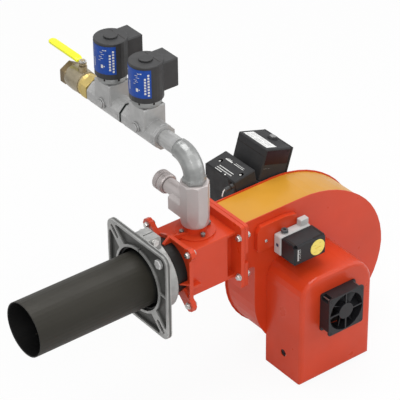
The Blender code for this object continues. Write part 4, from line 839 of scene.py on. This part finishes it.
def make_hood_details():
    spots = [(FAN_X + a, FAN_FRONT_Y, FAN_Z + b) for a in (-FAN_SCREW_REACH, FAN_SCREW_REACH)
             for b in (-FAN_SCREW_REACH, FAN_SCREW_REACH)]
    bolts("fan_screw", spots, (0, -1, 0), lambda: pan_screw(3.6, 0.7), "screw")
    bolts("fan_screw_shank", [(x, -219, z) for x, _, z in spots], (0, -1, 0),
          lambda: peg(2, 30, 12), "screw")
    add_piece("damper_hole_shade", band([(0, 9.2), (0, 16), (0.6, 16), (0.6, 9.2)], 24), "painted_shade",
              matrix=along((378.9, DAMPER_Y, DAMPER_Z), (-1, 0, 0)))
    add_piece("damper_slot_fill", peg(7.5, 0.3, 20), "dark_red", "damper",
              along((379.6, DAMPER_Y, DAMPER_Z), (-1, 0, 0)))
    # A dark disc behind the fan is painted shade standing for the depth behind the rotor
    add_piece("fan_back_shade", peg(56, 1, 40), "hole",
              matrix=along((FAN_X, FAN_BACK_Y, FAN_Z), (0, -1, 0)))


# Control box and ignition transformer: marks are in the plane of each lid, from its left corner
# at the front

CONTROL_CORNER = (484, 70, 169)
CONTROL_TILT = 17
CONTROL_WIDTH, CONTROL_LENGTH = 91, 122
TRANSFORMER_CORNER = (373, 70, 109)
TRANSFORMER_TILT = -10
LEAD_RADIUS = 1.6
LEAD_ROUTE = [(347, 78, 94), (342, 77, 91), (338, 76, 85), (336, 75, 78), (336, 75, 66),
              (340, 76, 52), (352, 80, 42), (370, 86, 36), (386, 90, 34)]


def make_control_box_details():
    lid = moved(*CONTROL_CORNER) @ turned(CONTROL_TILT, "Y")
    width, length = CONTROL_WIDTH, CONTROL_LENGTH
    raised("control_label", [bar(0.09 * width, 0.09 * length, 0.49 * width, 0.91 * length)], 0.05,
           0.35, "paper", lid)
    rows = []
    for row in range(6):
        a = (0.15 + 0.055 * row) * width
        for start, reach in ((0.16, 0.34), (0.38, 0.60), (0.64, 0.86)):
            if (row * 3 + int(start * 10)) % 4:
                rows.append(bar(a, start * length, a + 0.8, reach * length))
    raised("control_label_lines", rows, 0.35, 0.47, "ink_grey", lid)
    bezel = [(0.05, 11.2), (0.05, 15.2), (1.8, 14.8), (2.6, 13.6), (2.4, 11.4)]
    add_piece("button_bezel", band(bezel, 32), "gloss_black", matrix=lid @ moved(75, 65, 0))
    raised("control_side_cover", [bar(width + 0.1, 0.5, width + 6.5, length - 0.5)], -88, -0.4,
           "box", lid, soft=1.2)
    raised("control_lid_seam", [bar(-0.25, 2, 0.25, length - 2)], -22.6, -21.4, "hole", lid)
    front = lid @ turned(90, "X")
    raised("control_front_panel", [bar(4, -46, width - 4, -5)], -0.05, 0.5, "dark_red",
           front, soft=0.4)
    raised("control_front_screw", [disc(width - 12, -9, 2.6)], 0.5, 0.9, "hole", front)
    raised("control_front_marks", [bar(5, -58, 18, -57), bar(20, -58, 27, -57)], 0.0, 0.25,
           "ink_grey", front)


def make_transformer_details():
    lid = moved(*TRANSFORMER_CORNER) @ turned(TRANSFORMER_TILT, "Y")
    lines = [bar(19, 29, 21.4, 89), bar(11, 28, 13.4, 90), bar(4, 62, 6.4, 90), disc(5, 46, 2.6)]
    lines += [bar(47, 70, 51.5, 98), bar(52.5, 76, 54, 92), bar(48, 22, 49.8, 64),
              bar(53, 24, 54.4, 60)]
    raised("transformer_marks", lines, 0.03, 0.25, "white_ink", lid)
    for number, place in enumerate((13, 102), 1):
        # Each well is a flat near-black disc of painted shade, with its screw on top
        raised(f"transformer_well_shade_{number}", [disc(34, place, 7.0, 20)], 0.02, 0.12, "painted_shade",
               lid)
        raised(f"transformer_screw_{number}", [disc(31, place, 3.2)], 0.12, 0.9, "zinc", lid)
    raised("transformer_skirt", [[(-0.3, -0.3), (-0.3, -60), (-10.5, -58.2)]], -126, -1, "box",
           lid @ turned(90, "X"))
    raised("transformer_seam", [bar(-0.25, 2, 0.2, 125)], -19, -18, "hole", lid)
    raised("connector_boot", [bar(-3, 12, 4, 27)], -17, -2, "hole", lid, soft=1.2)
    add_piece("connector_band", band([(8, 6.6), (12, 6.6), (12, 7.4), (8, 7.4)], 20), "hole",
              matrix=lid @ moved(-2, 7, -12) @ turned(-90, "Y"))
    tube("white_lead", LEAD_ROUTE, LEAD_RADIUS, "paper")


# Floor, world and lamps

FLOOR_Z = -0.409
FLOOR_REACH = 12
FLOOR_GREY = 0.85
FLOOR_GLOW = 0.93
AMBIENT = 0.55
# Name: place, aim, size and power
LAMPS = {
    "key": ((-1.6, -2.6, 2.6), (0.25, 0, 0), 1.6, 41),
    "top": ((0.6, 0.4, 3.0), (0.3, 0.1, 0), 2.0, 50),
    "side": ((2.6, -1.6, 1.0), (0.3, 0, 0), 1.6, 14),
}


def make_floor():
    """A pale floor that takes the shadow and is almost the background's white to the camera."""
    floor = bpy.data.objects.new("floor", bpy.data.meshes.new("floor"))
    shape = bmesh.new()
    bmesh.ops.create_grid(shape, x_segments=1, y_segments=1, size=FLOOR_REACH)
    shape.to_mesh(floor.data)
    shape.free()
    floor.location = (0, 0, FLOOR_Z)
    bpy.context.scene.collection.objects.link(floor)
    material = bpy.data.materials.new("pale_floor")
    material.use_nodes = True
    tree = material.node_tree
    shader = tree.nodes["Principled BSDF"]
    shader.inputs["Base Color"].default_value = (FLOOR_GREY, FLOOR_GREY, FLOOR_GREY, 1)
    shader.inputs["Roughness"].default_value = 0.9
    shader.inputs["Specular IOR Level"].default_value = 0.0
    glow = tree.nodes.new("ShaderNodeEmission")
    glow.inputs["Color"].default_value = (1, 1, 1, 1)
    rays = tree.nodes.new("ShaderNodeLightPath")
    share = remap(tree, rays.outputs["Is Camera Ray"], 0, 1, 0.0, FLOOR_GLOW)
    mix = tree.nodes.new("ShaderNodeMixShader")
    link(tree, share, mix.inputs[0])
    link(tree, shader.outputs[0], mix.inputs[1])
    link(tree, glow.outputs[0], mix.inputs[2])
    link(tree, mix.outputs[0], tree.nodes["Material Output"].inputs[0])
    floor.data.materials.append(material)


def make_world():
    """White to the camera and in reflections, softer as a light."""
    world = bpy.data.worlds.new("studio")
    bpy.context.scene.world = world
    world.use_nodes = True
    tree = world.node_tree
    tree.nodes.clear()
    rays = tree.nodes.new("ShaderNodeLightPath")
    seen = combine(tree, "MAXIMUM", rays.outputs["Is Camera Ray"], rays.outputs["Is Glossy Ray"],
                   rays.outputs["Is Transmission Ray"])
    mix = tree.nodes.new("ShaderNodeMixShader")
    link(tree, seen, mix.inputs[0])
    for socket, strength in ((mix.inputs[1], AMBIENT), (mix.inputs[2], 1.0)):
        background = tree.nodes.new("ShaderNodeBackground")
        background.inputs["Color"].default_value = (1, 1, 1, 1)
        background.inputs["Strength"].default_value = strength
        link(tree, background.outputs[0], socket)
    output = tree.nodes.new("ShaderNodeOutputWorld")
    link(tree, mix.outputs[0], output.inputs["Surface"])


def make_lamps():
    for name, (place, aim, size, power) in LAMPS.items():
        data = bpy.data.lights.new(name, "AREA")
        data.size = size
        data.energy = power
        lamp = bpy.data.objects.new(name, data)
        turn = (Vector(aim) - Vector(place)).to_track_quat("-Z", "Y")
        lamp.matrix_world = Matrix.Translation(Vector(place)) @ turn.to_matrix().to_4x4()
        bpy.context.scene.collection.objects.link(lamp)


bpy.context.scene.view_settings.view_transform = "Standard"
make_camera()
FINISHES = {**make_painted_finishes(), **make_metal_finishes(), **make_plastic_finishes(),
            **make_print_finishes()}
dress_nodes()
make_head_fasteners()
make_clamp_washers()
make_coils()
make_ball_valve_look()
make_knob_ridges()
make_switch_details()
make_hood_details()
make_control_box_details()
make_transformer_details()
make_floor()
make_world()
make_lamps()
